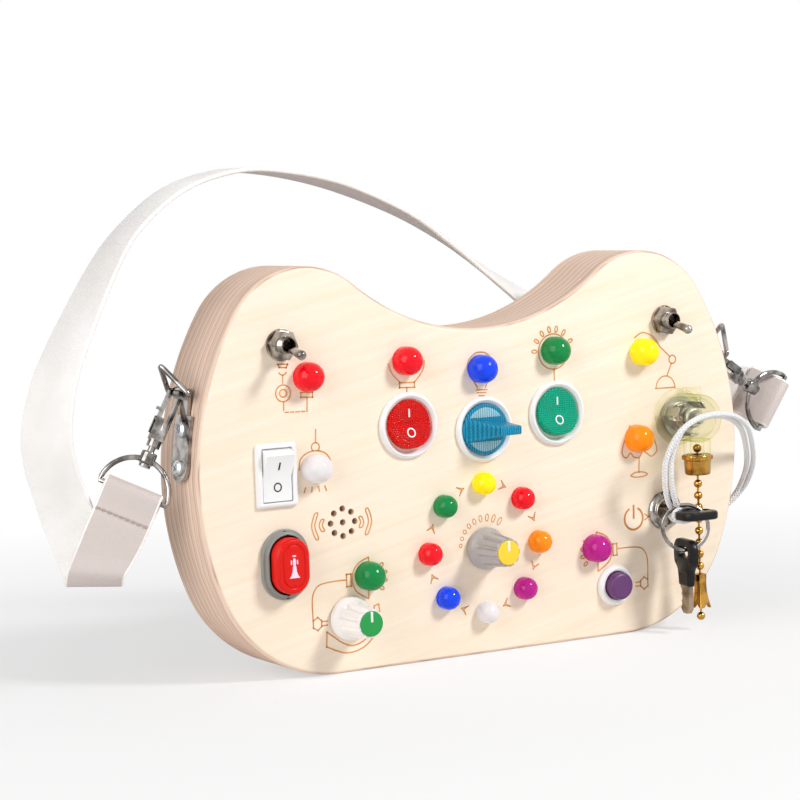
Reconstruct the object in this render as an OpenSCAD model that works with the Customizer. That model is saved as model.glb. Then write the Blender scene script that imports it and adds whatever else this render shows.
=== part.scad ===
// Wooden busy board: a bean-shaped plywood box that stands on its flat lower
// edge, with switches, knobs, lamps, a key lock and a pull chain on its front.
// X runs right along the face, Y away from the viewer, Z up. The origin is at
// the middle of the flat lower edge, half-way through the board's thickness.
// Each control is modelled in its own frame: x right, y up, z out of the face.

/* [Board] */
// Width across the two rounded sides
board_w = 222; // [216:1:240]
// Height from the flat lower edge to the tops of the humps
board_h = 139; // [136:1:150]
// Distance of each hump's centre from the middle
hump_x = 69; // [66:1:73]
// Radius of the humps
hump_r = 31; // [28:1:33]
// Height of the lowest point of the dip between the humps
dip_z = 114.7; // [112:0.1:118]
// Radius of the long side curves
side_r = 105.5; // [101:0.5:108]
// Radius of the lower corners
corner_r = 46.5; // [42:0.5:50]
// Thickness of the front panel
front_t = 5; // [4:0.5:7]
// Depth of the laminated ring between the panels
ring_t = 20; // [20:0.5:30]
// Thickness of the back panel
back_t = 5; // [4:0.5:7]
// Width of the ring's wall
wall_w = 11; // [9:0.5:13]
// Rounding of the outer edges of both panels
edge_r = 1.6; // [0.8:0.1:2.4]

/* [Lamps] */
// Radius of the nine large lamp domes
big_lamp_r = 5; // [4:0.1:5.5]
// Height of the large domes' centres above the face
big_lamp_rise = 2.8; // [1:0.1:5]
// Radius of the eight small lamp domes
small_lamp_r = 4; // [3:0.1:4.5]
// Height of the small domes' centres above the face
small_lamp_rise = 2.2; // [1:0.1:4]
// Radius of the circle that the small lamps stand on
lamp_circle_r = 22.7; // [20:0.1:25]

/* [Round switches] */
// Radius of the white bezels
bezel_r = 11.5; // [11:0.1:12.5]
// Height of the bezels
bezel_h = 1.8; // [1.2:0.1:2.6]
// Radius of the round switch bodies behind the bezels
round_body_r = 10; // [9.8:0.1:10.4]
// Radius of the well that the coloured cap moves in
well_r = 9.3; // [9.1:0.1:9.5]
// Depth of the bodies behind the face
round_body_d = 16; // [14:0.5:18]
// Tilt of a rocker cap to each side
rocker_tilt = 10.7; // [6:0.1:11]
// Height of the rotary knob's grip above the face
grip_h = 13; // [9:0.5:16]

/* [White rocker] */
// Width of the white rocker's bezel
rect_w = 15.2; // [14.8:0.1:17]
// Height of the white rocker's bezel
rect_h = 21.5; // [21.4:0.1:24]
// Width of the white rocker's cap
rect_cap_w = 10.8; // [9:0.1:11]
// Length of the white rocker's cap
rect_cap_l = 16; // [14:0.1:16.2]

/* [Toggles] */
// Radius of the threaded toggle bushings
bushing_r = 3; // [2.9:0.05:3.2]
// Height of the bushings above the face
bushing_h = 6.5; // [5.5:0.1:7]
// Width of the hexagon nuts across their flats
nut_af = 9.5; // [8:0.1:10.5]
// Radius of the toggle levers' round ends
lever_end_r = 1.7; // [1.3:0.1:2]
// Length of the toggle levers beyond their pivot
lever_l = 14.5; // [10:0.5:18]
// Tilt of a toggle lever to each side
toggle_tilt = 13; // [8:0.5:14]

/* [Knobs] */
// Radius of the knobs' skirts
skirt_r = 7.4; // [7:0.1:8.5]
// Height of the knobs above the face
knob_h = 16; // [13:0.5:20]
// Radius of a knob's body at its top
knob_top_r = 5; // [4.8:0.1:6]
// Radius of the knobs' metal shafts
shaft_r = 3; // [2.8:0.05:3.1]

/* [Buttons] */
// Length of the horn button's grey housing
horn_l = 24; // [22.5:0.1:27]
// Width of the horn button's grey housing
horn_w = 17.5; // [16:0.1:20]
// Height of the horn button above the face at rest
horn_rise = 7.5; // [6:0.1:9]
// Travel of the horn button
horn_travel = 2.5; // [1.5:0.1:3]
// Radius of the round push button's white bezel
push_bezel_r = 7.4; // [6.6:0.1:9]
// Radius of the round push button's cap
push_cap_r = 4.9; // [4:0.1:5]
// Height of the round push button above the face at rest
push_rise = 5.4; // [4.5:0.1:6.5]
// Travel of the round push button
push_travel = 2.2; // [1:0.1:2.6]

/* [Lock and keys] */
// Radius of the lock's chrome flange
lock_flange_r = 7.1; // [6.6:0.1:8]
// Radius of the turning plug
plug_r = 4; // [3.9:0.05:4.2]
// Length of a key's plastic head
head_l = 17; // [15:0.5:19]
// Width of a key's plastic head
head_w = 15; // [13:0.5:16]
// Thickness of a key's plastic head
head_t = 3; // [2.4:0.1:3.2]
// Width of a key's metal blade
blade_w = 6.4; // [5:0.1:6.6]
// Thickness of a key's metal blade
blade_t = 1.8; // [1.2:0.1:2]
// Middle radius of the split key ring
key_ring_r = 8.2; // [8:0.1:8.8]

/* [Pull chain] */
// Radius of the clear switch drum
drum_r = 8.7; // [8.2:0.1:9.2]
// Height of the clear drum above the face
drum_h = 18; // [17.5:0.1:19]
// Radius of the brass collar
collar_r = 5.6; // [5:0.1:5.8]
// Radius of the chain's beads
bead_r = 1.55; // [1.3:0.05:1.6]
// Distance from one bead to the next
bead_pitch = 4.3; // [4:0.1:4.5]
// How far the chain can be pulled
pull_travel = 3; // [1:0.5:3.5]

/* [Strap and fittings] */
// Width of the strap
strap_w = 20; // [16:0.5:21]
// Thickness of the strap
strap_t = 1.6; // [1.2:0.1:1.8]
// Radius of the rings' wire
wire_r = 0.9; // [0.8:0.05:1]
// Inner width of the D-rings
dring_w = 22; // [21.5:0.1:23]
// Length of the side plates
plate_l = 28; // [26:0.5:32]
// Width of the side plates
plate_w = 11.7; // [10:0.1:13]
// Distance from a snap hook's wire to the strap's bar
chain_l = 36; // [35.5:0.5:38]
// Diameter of one strand of the key cord
cord_d = 2.2; // [1.8:0.1:2.4]

/* [Hidden] */
$fn = 48;

// Clearances
run_gap = 0.06;   // a shaft turning or sliding in its bore
free_gap = 0.3;   // pieces that pass without touching
seat_gap = 0.05;  // a fixed piece in its hole

// Board depth
board_t = front_t + ring_t + back_t;
face_y = -board_t / 2;
back_y = board_t / 2;
cavity = ring_t;

// Centres of the arcs that bound the outline
side_x = board_w / 2 - side_r;
hump_z = board_h - hump_r;
side_z = hump_z - sqrt(pow(side_r - hump_r, 2) - pow(hump_x - side_x, 2));
corner_x = side_x + sqrt(pow(side_r - corner_r, 2) - pow(corner_r - side_z, 2));
dip_drop = dip_z - hump_z;
dip_r = (pow(hump_x, 2) + pow(dip_drop, 2) - pow(hump_r, 2)) / (2 * (hump_r - dip_drop));

// Places on the face, [x, z]
toggle_at = [78.8, 113.2];
rocker_at = [30.6, 82.8];
rotary_at = [0, 79.2];
white_rocker_at = [-82.3, 69.9];
horn_at = [-80.4, 39.7];
speaker_at = [-57.4, 51.7];
knob_white_at = [-56.3, 18.8];
knob_grey_at = [-1, 37.3];
push_at = [54, 18.5];
lock_at = [77, 43.6];
pull_at = [83.7, 77.7];

// Large lamps: [x, z, colour name]
BIG_LAMPS = [
    [-69.5, 102, "red"], [-31, 105, "red"], [-0.8, 100.4, "blue"], [30, 105, "green"],
    [68.5, 102.3, "yellow"], [65.2, 71, "orange"], [-67.6, 71, "white"],
    [-48.5, 32.6, "green"], [45.4, 32.8, "magenta"]
];
// Small lamps, clockwise from the top of their circle
SMALL_LAMPS = ["yellow", "red", "orange", "magenta", "white", "blue", "red", "green"];
lamp_circle_at = [-1.4, 37.6];

// ---------------------------------------------------------------- helpers

// Points of an arc round c, from angle a0 to a1
function arc(c, r, a0, a1, n) = [for (i = [0:n]) c + r * [cos(a0 + (a1 - a0) * i / n),
                                                        sin(a0 + (a1 - a0) * i / n)]];

// Right half of the board's outline drawn in by inset, from the lower edge up
function half_outline(inset) =
    let (corner = [corner_x, corner_r], side = [side_x, side_z], hump = [hump_x, hump_z],
         dip = [0, dip_z + dip_r],
         a1 = atan2(corner.y - side.y, corner.x - side.x),
         a2 = atan2(hump.y - side.y, hump.x - side.x),
         a3 = atan2(dip.y - hump.y, dip.x - hump.x))
    concat([[0, inset]],
           arc(corner, corner_r - inset, -90, a1, 9),
           arc(side, side_r - inset, a1, a2, 12),
           arc(hump, hump_r - inset, a2, a3, 14),
           arc(dip, dip_r + inset, a3 - 180, -90, 8));

function outline(inset = 0) =
    let (half = half_outline(inset), n = len(half))
    concat(half, [for (i = [n - 2:-1:1]) [-half[i].x, half[i].y]]);

// A plate of the outline from y0 to y1
module slab(y0, y1, inset = 0)
    translate([0, y1, 0]) rotate([90, 0, 0]) linear_extrude(y1 - y0) polygon(outline(inset));

// Closed skin over rings of points; every ring has the same number of points
module skin(rings, closed = false) {
    n = len(rings[0]);
    m = len(rings);
    sides = [for (k = [0:m - (closed ? 1 : 2)], i = [0:n - 1], t = [0, 1])
        let (a = k * n + i, b = k * n + (i + 1) % n,
             c = (k + 1) % m * n + i, d = (k + 1) % m * n + (i + 1) % n)
        t == 0 ? [a, b, d] : [a, d, c]];
    caps = closed ? [] : [[for (i = [n - 1:-1:0]) i], [for (i = [0:n - 1]) (m - 1) * n + i]];
    polyhedron([for (r = rings, p = r) p], concat(sides, caps), convexity = 6);
}

// Rounded rim of a panel: from the square edge at y0 to the rounded edge at y1.
// Its inner side lies inside the panel's flat plate.
module rim(y0, y1) {
    s = sign(y1 - y0);
    e = edge_r;
    section = [[y0, 0], [y1 - s * e, 0], [y1 - s * 0.5 * e, 0.134 * e],
               [y1 - s * 0.134 * e, 0.5 * e], [y1, e], [y1 - s * 0.5, e + 1],
               [y0 + s * 0.5, e + 1], [y0, e]];
    walls = [for (q = section) [for (p = outline(q[1])) [p.x, q[0], p.y]]];
    skin(s < 0 ? [for (i = [len(walls) - 1:-1:0]) walls[i]] : walls, closed = true);
}

// Children stand on the face at p, with z out of the face
module on_face(p) translate([p.x, face_y, p.y]) rotate([90, 0, 0]) children();

// Children stand on both sides: as drawn on the right, mirrored on the left
module both_sides() {
    children();
    mirror([1, 0, 0]) children();
}

module stadium(l, w) {
    for (s = [-1, 1]) translate([0, s * (l - w) / 2]) circle(d = w);
    square([w, l - w], center = true);
}

module hexagon(af, h) cylinder(r = af / sqrt(3), h = h, $fn = 6);

function catmull(p, k, t) =
    let (a = p[max(k - 1, 0)], b = p[k], c = p[k + 1], d = p[min(k + 2, len(p) - 1)])
    0.5 * (2 * b + (c - a) * t + (2 * a - 5 * b + 4 * c - d) * t * t
           + (3 * b - a - 3 * c + d) * t * t * t);

// Points along a smooth line through p, n to each span
function smooth(p, n) = concat(
    [for (k = [0:len(p) - 2], i = [0:n - 1]) catmull(p, k, i / n)], [p[len(p) - 1]]);

function unit(v) = v / norm(v);

function tangent(p, i) = unit(p[min(i + 1, len(p) - 1)] - p[max(i - 1, 0)]);

// A tube of 8 sides along points p
module tube(p, r) {
    rings = [for (i = [0:len(p) - 1])
        let (t = tangent(p, i), u = unit(cross(t, [0.31, 0.17, 0.93])), v = cross(t, u))
        [for (k = [0:7]) p[i] + r * (cos(45 * k) * u + sin(45 * k) * v)]];
    skin([for (i = [len(rings) - 1:-1:0]) rings[i]]);
}

// ---------------------------------------------------------------- board

module lamp_hole(r) translate([0, 0, -front_t - 1]) cylinder(r = r + seat_gap, h = front_t + 2);

module through(d = 12) translate([0, 0, -d]) linear_extrude(d + 2) children();

module face_holes() {
    for (l = BIG_LAMPS) on_face(l) lamp_hole(big_lamp_r);
    for (i = [0:7]) on_face(small_lamp_at(i)) lamp_hole(small_lamp_r);
    for (s = [-1, 1]) {
        on_face([s * toggle_at.x, toggle_at.y]) through() circle(bushing_r + seat_gap);
        on_face([s * rocker_at.x, rocker_at.y]) through() circle(round_body_r + seat_gap);
    }
    on_face(rotary_at) through() circle(round_body_r + seat_gap);
    on_face(white_rocker_at) through()
        square([rect_body_w + 2 * seat_gap, rect_body_h + 2 * seat_gap], center = true);
    on_face(horn_at) through()
        stadium(horn_body_l + 2 * seat_gap, horn_body_w + 2 * seat_gap);
    on_face(speaker_at) {
        through() circle(1.1, $fn = 24);
        for (i = [0:7]) rotate(45 * i) translate([4.7, 0]) through() circle(1.1, $fn = 24);
    }
    for (p = [knob_white_at, knob_grey_at]) on_face(p) through() circle(pot_bush_r + seat_gap);
    on_face(push_at) through() circle(push_body_r + seat_gap);
    on_face(lock_at) through() circle(lock_body_r + seat_gap);
    on_face(pull_at) through() circle(pull_stub_r + seat_gap);
}

function small_lamp_at(i) =
    lamp_circle_at + lamp_circle_r * [sin(45 * i), cos(45 * i)];

module front_panel() color("#F4E4C8") {
    difference() {
        slab(face_y, face_y + front_t, edge_r);
        face_holes();
    }
    rim(face_y + front_t, face_y);
}

cord_hole_r = cord_d + 1;
cord_hole_at = [106.3, 2, 38];

module frame_ring() color("#E4CFB4") difference() {
    slab(face_y + front_t, back_y - back_t);
    slab(face_y + front_t - 1, back_y - back_t + 1, wall_w);
    // the hole that the key cord comes out of
    translate(cord_hole_at - [2 * wall_w, 0, 0]) rotate([0, 90, 0])
        cylinder(r = cord_hole_r, h = 4 * wall_w);
    for (s = [-1, 1]) side_frame(s) for (h = plate_screw_at) translate([h, 0, -8])
        cylinder(r = 1.3 + seat_gap, h = 10);
    for (p = SCREW_AT) translate([p.x, 0, p.y]) rotate([-90, 0, 0])
        cylinder(r = 1.3 + seat_gap, h = board_t / 2);
    // pockets for the collars and legs of lamps near the wall, and for a knob's body
    for (l = BIG_LAMPS) on_face(l) translate([0, 0, -front_t - lamp_depth - 1])
        cylinder(r = big_lamp_r + lamp_collar + free_gap, h = lamp_depth + 2);
    for (i = [0:7]) on_face(small_lamp_at(i)) translate([0, 0, -front_t - lamp_depth - 1])
        cylinder(r = small_lamp_r + lamp_collar + free_gap, h = lamp_depth + 2);
    on_face(knob_white_at) translate([0, 0, -front_t - pot_depth - 1])
        cylinder(r = pot_r + free_gap, h = pot_depth + 2);
}

// Back screws, [x, z]
SCREW_AT = [[-99, 96], [99, 96], [-100, 42], [100, 42], [-48, 6.5], [48, 6.5], [-62, 130],
            [62, 130]];

module back_panel() color("#EEDDC0") {
    difference() {
        slab(back_y - back_t, back_y, edge_r);
        translate([tray_at.x, back_y, tray_at.y]) rotate([-90, 0, 0])
            translate([0, 0, -back_t - 1]) linear_extrude(back_t + 2)
                square([tray_w + 2 * seat_gap, tray_h + 2 * seat_gap], center = true);
        for (p = SCREW_AT) translate([p.x, back_y, p.y]) rotate([-90, 0, 0]) {
            translate([0, 0, -back_t - 1]) cylinder(r = 1.6, h = back_t + 2);
            translate([0, 0, -screw_head_h - seat_gap]) cylinder(r = 3.1, h = 4);
        }
    }
    rim(back_y - back_t, back_y);
}

screw_head_h = 1.6;

module panel_screw() rotate([-90, 0, 0]) difference() {
    rotate_extrude($fn = 32) polygon([[0, -14], [1.3, -12.6], [1.3, -screw_head_h],
        [3, -screw_head_h], [3, -0.7], [2.2, -0.02], [0, -0.02]]);
    for (a = [0, 90]) rotate(a) translate([-1.6, -0.35, -1]) cube([3.2, 0.7, 2]);
}

// Heights of the two screws along each side plate, from the plate's middle
plate_screw_at = [3.3, -9.4];

module plate_screw() difference() {
    rotate_extrude($fn = 32) polygon([[0, -7.5], [1.3, -6.5], [1.3, plate_t],
        [2.7, plate_t], [2.7, plate_t + 0.7], [1.9, plate_t + 1.5], [0, plate_t + 1.6]]);
    for (a = [30, 120]) rotate(a) translate([-1.5, -0.35, plate_t + 0.8]) cube([3, 0.7, 2]);
}

module wood_screws() color("#B8B8BC") {
    for (p = SCREW_AT) translate([p.x, back_y, p.y]) panel_screw();
    for (s = [-1, 1]) side_frame(s) for (h = plate_screw_at) translate([h, 0, 0]) plate_screw();
}

// ---------------------------------------------------------------- battery box

tray_at = [0, 45];
tray_w = 68;
tray_h = 40;
tray_d = 14.5;
tray_wall = 1.2;
door_t = 1.8;
cell_r = 5.2;
cell_l = 44.5;

module behind(p) translate([p.x, back_y, p.y]) rotate([-90, 0, 0]) children();

module battery_tray() color("#3A3A3C") behind(tray_at) difference() {
    translate([-tray_w / 2, -tray_h / 2, -tray_d]) cube([tray_w, tray_h, tray_d]);
    translate([-tray_w / 2 + tray_wall, -tray_h / 2 + tray_wall, -tray_d + tray_wall])
        cube([tray_w - 2 * tray_wall, tray_h - 2 * tray_wall, tray_d]);
    // a slot in one wall takes the door's hinge pin
    translate([-tray_w / 2 - 1, -tray_h / 2 + 2.6, -door_t / 2 - 0.1]) rotate([0, 90, 0])
        cylinder(r = 0.8 + run_gap, h = tray_w + 2);
}

module battery_cells() color("#6E7B8A") behind(tray_at)
    for (i = [-1:1]) translate([-cell_l / 2, i * (2 * cell_r + 0.6), -tray_d + tray_wall + cell_r])
        rotate([0, 90, 0]) {
            cylinder(r = cell_r, h = cell_l - 1);
            translate([0, 0, cell_l - 1]) cylinder(r = 1.8, h = 1);
        }

door_inset = tray_wall + free_gap;
door_pin_y = -tray_h / 2 + 2.6;

module battery_door() color("#2E2E30") behind(tray_at) difference() {
    union() {
        translate([-tray_w / 2 + door_inset, door_pin_y, -door_t])
            cube([tray_w - 2 * door_inset, tray_h / 2 - door_inset - door_pin_y, door_t - 0.1]);
        // rolled lower edge with its pin ends in the tray's walls
        translate([-tray_w / 2 + door_inset, door_pin_y, -door_t / 2 - 0.1]) rotate([0, 90, 0])
            cylinder(r = door_t / 2 - 0.05, h = tray_w - 2 * door_inset);
        translate([-tray_w / 2 + 0.2, door_pin_y, -door_t / 2 - 0.1]) rotate([0, 90, 0])
            cylinder(r = 0.8, h = tray_w - 0.4);
    }
    for (i = [0:3]) translate([-6, 8 + 1.6 * i, -0.5]) cube([12, 0.8, 1]);
}

// ---------------------------------------------------------------- inside

pcb_w = 28;
pcb_h = 14;
pcb_post = [pcb_w / 2 - 2.5, pcb_h / 2 - 2.5];
board_at = [tray_at.x + tray_w / 2 + pcb_w / 2 + 2, 53];

// Controller board on four posts that stand on the back panel
module circuit_board() color("#2F7D4F") translate([board_at.x, back_y - back_t, board_at.y])
    rotate([90, 0, 0]) difference() {
        union() {
            translate([-pcb_w / 2, -pcb_h / 2, 4]) cube([pcb_w, pcb_h, 1.6]);
            for (x = [-1, 1], y = [-1, 1]) translate([x * pcb_post.x, y * pcb_post.y, 0])
                cylinder(r = 1.8, h = 4.5);
            translate([-6, -3, 5.5]) cube([8, 6, 1.2]);
        }
        for (x = [-1, 1], y = [-1, 1]) translate([x * pcb_post.x, y * pcb_post.y, 1])
            cylinder(r = 0.8, h = 6, $fn = 24);
    }

module speaker() color("#55585C") on_face(speaker_at) difference() {
    rotate_extrude() polygon([[0, -front_t - 10.5], [5.6, -front_t - 10.5],
        [5.6, -front_t - 7], [9.4, -front_t - 5], [9.4, -front_t], [8.2, -front_t],
        [7.6, -front_t - 1.2], [3, -front_t - 3.6], [0, -front_t - 2.6]]);
}

// ---------------------------------------------------------------- lamps

lamp_collar = 0.7;
lamp_depth = 7;

module lamp(r, rise) {
    rotate_extrude($fn = 40) {
        intersection() {
            translate([0, rise]) circle(r);
            translate([0, rise]) square([r + 1, r + 1]);
        }
        translate([0, -front_t - 1.5]) square([r, front_t + 1.5 + rise]);
        translate([0, -front_t - 1.5]) square([r + lamp_collar, 1.4]);
    }
    for (s = [-1, 1]) translate([s * 1.27, 0, -front_t - lamp_depth])
        cylinder(r = 0.3, h = 6, $fn = 24);
}

module lamps(name) {
    for (l = BIG_LAMPS) if (l[2] == name) on_face(l) lamp(big_lamp_r, big_lamp_rise);
    for (i = [0:7]) if (SMALL_LAMPS[i] == name)
        on_face(small_lamp_at(i)) lamp(small_lamp_r, small_lamp_rise);
}

module led_red() color("#F01E2E") lamps("red");
module led_blue() color("#0450E8") lamps("blue");
module led_green() color("#04A050") lamps("green");
module led_yellow() color("#FAE606") lamps("yellow");
module led_orange() color("#FA8A04") lamps("orange");
module led_magenta() color("#C01E80") lamps("magenta");
module led_white() color("#F4F0F0") lamps("white");

// ---------------------------------------------------------------- toggles

toggle_bore_r = 2.46;
toggle_ball_r = toggle_bore_r - run_gap;
toggle_pivot = bushing_h - 4.3;
washer_t = 0.8;
nut_t = 2.3;

module at_toggles() for (s = [-1, 1]) on_face([s * toggle_at.x, toggle_at.y]) children();

module toggle_bodies() color("#9A9CA0") at_toggles() {
    difference() {
        union() {
            translate([-4, -6.5, -front_t - 10]) cube([8, 13, 10 - seat_gap]);
            translate([0, 0, -front_t - 1]) cylinder(r = bushing_r, h = front_t + 1 + bushing_h);
        }
        translate([0, 0, toggle_pivot - toggle_ball_r - 0.5])
            cylinder(r = toggle_bore_r, h = 2 * bushing_h);
    }
    for (y = [-4, 0, 4]) translate([-0.4, y - 1, -front_t - 13.9]) cube([0.8, 2, 4]);
}

module toggle_nuts() color("#C9C6C0") at_toggles() {
    difference() {
        cylinder(r = 5.4, h = washer_t - 0.01);
        translate([0, 0, -1]) cylinder(r = bushing_r + seat_gap, h = 4);
    }
    translate([0, 0, washer_t]) difference() {
        intersection() {
            rotate(20) hexagon(nut_af, nut_t);
            union() {
                cylinder(r1 = nut_af / 2 + 1.2, r2 = nut_af / 2 + 0.05, h = nut_t + 0.001);
                cylinder(r = nut_af, h = nut_t - 0.8);
            }
        }
        translate([0, 0, -1]) cylinder(r = bushing_r + seat_gap, h = nut_t + 2);
    }
}

module toggle_lever(s) color("#D8D4CC") on_face([s * toggle_at.x, toggle_at.y])
    translate([0, 0, toggle_pivot]) rotate([toggle_tilt, 0, 0]) {
        sphere(r = toggle_ball_r);
        cylinder(r1 = 1.15, r2 = 1.15, h = 4.4);
        translate([0, 0, 4.4]) cylinder(r1 = 1.15, r2 = lever_end_r - 0.15, h = lever_l - 6);
        translate([0, 0, lever_l - lever_end_r]) sphere(r = lever_end_r);
    }

module toggle_lever_left() toggle_lever(-1);
module toggle_lever_right() toggle_lever(1);

// ---------------------------------------------------------------- round switches

rocker_pin_r = 1;
rocker_pivot = -1;
rocker_r = well_r - 0.9;
stem_r = 2;

module spade_tabs(z) for (x = [-3.5, 3.5]) translate([x - 0.4, -2.4, z - 3.4]) cube([0.8, 4.8, 3.5]);

module round_housing(rotary) {
    difference() {
        rotate_extrude($fn = 64) polygon([[0, -round_body_d], [round_body_r, -round_body_d],
            [round_body_r, 0], [bezel_r, 0], [bezel_r, 0.55 * bezel_h],
            [bezel_r - 0.8, bezel_h], [well_r, bezel_h], [well_r, -7], [0, -7]]);
        if (rotary) translate([0, 0, -11]) cylinder(r = stem_r + run_gap, h = 5);
        else translate([-round_body_r - 1, 0, rocker_pivot]) rotate([0, 90, 0])
            cylinder(r = rocker_pin_r + run_gap, h = 2 * round_body_r + 2);
    }
    spade_tabs(-round_body_d);
}

module round_housings() color("#F4F4F2") {
    for (s = [-1, 1]) on_face([s * rocker_at.x, rocker_at.y]) round_housing(false);
    on_face(rotary_at) round_housing(true);
}

// A concave cap that rocks about its pins; at rest its upper side is pressed in
module rocker_cap() translate([0, 0, rocker_pivot]) rotate([-rocker_tilt, 0, 0]) {
    rise = rocker_r * tan(rocker_tilt);
    difference() {
        translate([0, 0, -3.5]) cylinder(r = rocker_r, h = 3.5 + 2.2 + rise, $fn = 64);
        for (s = [0, 180]) rotate(s) translate([-rocker_r - 1, 0, 2.2])
            rotate([rocker_tilt, 0, 0]) cube([2 * rocker_r + 2, rocker_r + 3, 6]);
    }
    rotate([0, 90, 0]) translate([0, 0, -well_r - 0.5])
        cylinder(r = rocker_pin_r, h = 2 * well_r + 1);
}

module rocker_cap_red() color("#E01414") on_face([-rocker_at.x, rocker_at.y]) rocker_cap();
module rocker_cap_green() color("#00A884") on_face(rocker_at) rocker_cap();

module rotary_knob() color("#1E90C0") on_face(rotary_at) {
    translate([0, 0, -2.5]) cylinder(r = well_r - 0.4, h = 4, $fn = 64);
    translate([0, 0, -10.5]) cylinder(r = stem_r, h = 8.5);
    // grip: a ridge, wide at its left foot, that rises to a narrow end on the right
    hull() {
        translate([-8, -4.2, 1.4]) cube([1, 8.4, 0.2]);
        translate([7.6, -2.2, 1.4]) cube([0.6, 4.4, 0.2]);
        translate([-0.9, -1.5, grip_h - 0.4]) cube([8.6, 3, 0.4]);
    }
}

// ---------------------------------------------------------------- white rocker

rect_body_w = rect_w - 2.2;
rect_body_h = rect_h - 1.5;
rect_tilt = 13;

module white_rocker_housing() color("#F6F6F4") on_face(white_rocker_at) {
    difference() {
        union() {
            translate([-rect_w / 2, -rect_h / 2, 0]) cube([rect_w, rect_h, 1]);
            hull() for (s = [[0, 1], [0.8, 1.8]])
                translate([-rect_w / 2 + s[0], -rect_h / 2 + s[0], s[1] - 0.2])
                    cube([rect_w - 2 * s[0], rect_h - 2 * s[0], 0.2]);
            translate([-rect_body_w / 2, -rect_body_h / 2, -14])
                cube([rect_body_w, rect_body_h, 14.5]);
        }
        translate([-rect_cap_w / 2 - free_gap, -rect_cap_l / 2 - 1.1, -7])
            cube([rect_cap_w + 2 * free_gap, rect_cap_l + 2.2, 12]);
        translate([-rect_w, 0, rocker_pivot]) rotate([0, 90, 0])
            cylinder(r = rocker_pin_r + run_gap, h = 2 * rect_w);
    }
    spade_tabs(-14);
}

module white_rocker_cap() color("#FAFAF8") on_face(white_rocker_at)
    translate([0, 0, rocker_pivot]) rotate([rect_tilt, 0, 0]) {
        difference() {
            translate([-rect_cap_w / 2, -rect_cap_l / 2, -3.5])
                cube([rect_cap_w, rect_cap_l, 7.9]);
            for (s = [0, 180]) rotate(s) translate([-rect_cap_w, 0, 2.3])
                rotate([rect_tilt, 0, 0]) cube([2 * rect_cap_w, rect_cap_l, 6]);
        }
        rotate([0, 90, 0]) translate([0, 0, -rect_body_w / 2 + 0.2])
            cylinder(r = rocker_pin_r, h = rect_body_w - 0.4);
    }

// ---------------------------------------------------------------- buttons

horn_body_l = horn_l - 3;
horn_body_w = horn_w - 3;
horn_cap_l = horn_body_l - 2;
horn_cap_w = horn_body_w - 2;

module horn_housing() color("#9C9E9C") on_face(horn_at) difference() {
    union() {
        linear_extrude(1.6) stadium(horn_l, horn_w);
        linear_extrude(3) stadium(horn_l - 2.4, horn_w - 2.4);
        translate([0, 0, -15]) linear_extrude(15.5) stadium(horn_body_l, horn_body_w);
    }
    translate([0, 0, -9]) linear_extrude(20)
        stadium(horn_cap_l + 2 * free_gap, horn_cap_w + 2 * free_gap);
    translate([0, 0, -14]) cylinder(r = stem_r + run_gap, h = 6);
}

module horn_button() color("#E2231A") on_face(horn_at) {
    difference() {
        union() {
            translate([0, 0, -5.5]) linear_extrude(horn_rise + 5.5 - 0.8)
                stadium(horn_cap_l, horn_cap_w);
            translate([0, 0, horn_rise - 0.9]) linear_extrude(0.9)
                stadium(horn_cap_l - 1.2, horn_cap_w - 1.2);
        }
        // groove that runs round the top
        translate([0, 0, horn_rise - 0.3]) linear_extrude(1) difference() {
            stadium(horn_cap_l - 4, horn_cap_w - 4);
            stadium(horn_cap_l - 4.8, horn_cap_w - 4.8);
        }
    }
    translate([0, 0, -13.7 + horn_travel]) cylinder(r = stem_r, h = 9);
}

push_body_r = push_bezel_r - 1.5;
push_well_r = push_cap_r + free_gap;

module push_housing() color("#F4F4F2") on_face(push_at) difference() {
    rotate_extrude($fn = 64) polygon([[0, -16], [push_body_r, -16], [push_body_r, 0],
        [push_bezel_r, 0], [push_bezel_r, 1], [push_bezel_r - 1, 2],
        [push_well_r, 2], [push_well_r, -8.6], [0, -8.6]]);
    translate([0, 0, -14]) cylinder(r = 1.5 + run_gap, h = 6);
}

module push_cap() color("#6A3A78") on_face(push_at) {
    rotate_extrude($fn = 64) polygon([[0, -5.8], [push_cap_r, -5.8],
        [push_cap_r, push_rise - 0.9], [push_cap_r - 0.3, push_rise - 0.3],
        [push_cap_r - 1, push_rise], [0, push_rise]]);
    translate([0, 0, -13.5 + push_travel]) cylinder(r = 1.5, h = 8);
}

// ---------------------------------------------------------------- knobs

pot_r = 8;
pot_depth = 9;
pot_bush_r = 3.5;
pot_bush_h = 2.6;
knob_base = 0.5;

module pot_bodies() color("#8F949A") for (p = [knob_white_at, knob_grey_at]) on_face(p) {
    difference() {
        union() {
            translate([0, 0, -front_t - pot_depth]) cylinder(r = pot_r, h = pot_depth - seat_gap);
            translate([0, 0, -front_t - 1]) cylinder(r = pot_bush_r, h = front_t + 1 + pot_bush_h);
        }
        translate([0, 0, -front_t - 4]) cylinder(r = shaft_r + run_gap, h = 30);
    }
    difference() {
        hexagon(9.6, 2);
        translate([0, 0, -1]) cylinder(r = pot_bush_r + seat_gap, h = 6);
    }
}

module pot_shaft(p) color("#C8CACC") on_face(p)
    translate([0, 0, -front_t - 3.5]) cylinder(r = shaft_r, h = front_t + 3.5 + knob_h - 3);

module pot_shaft_white() pot_shaft(knob_white_at);
module pot_shaft_grey() pot_shaft(knob_grey_at);

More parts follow.
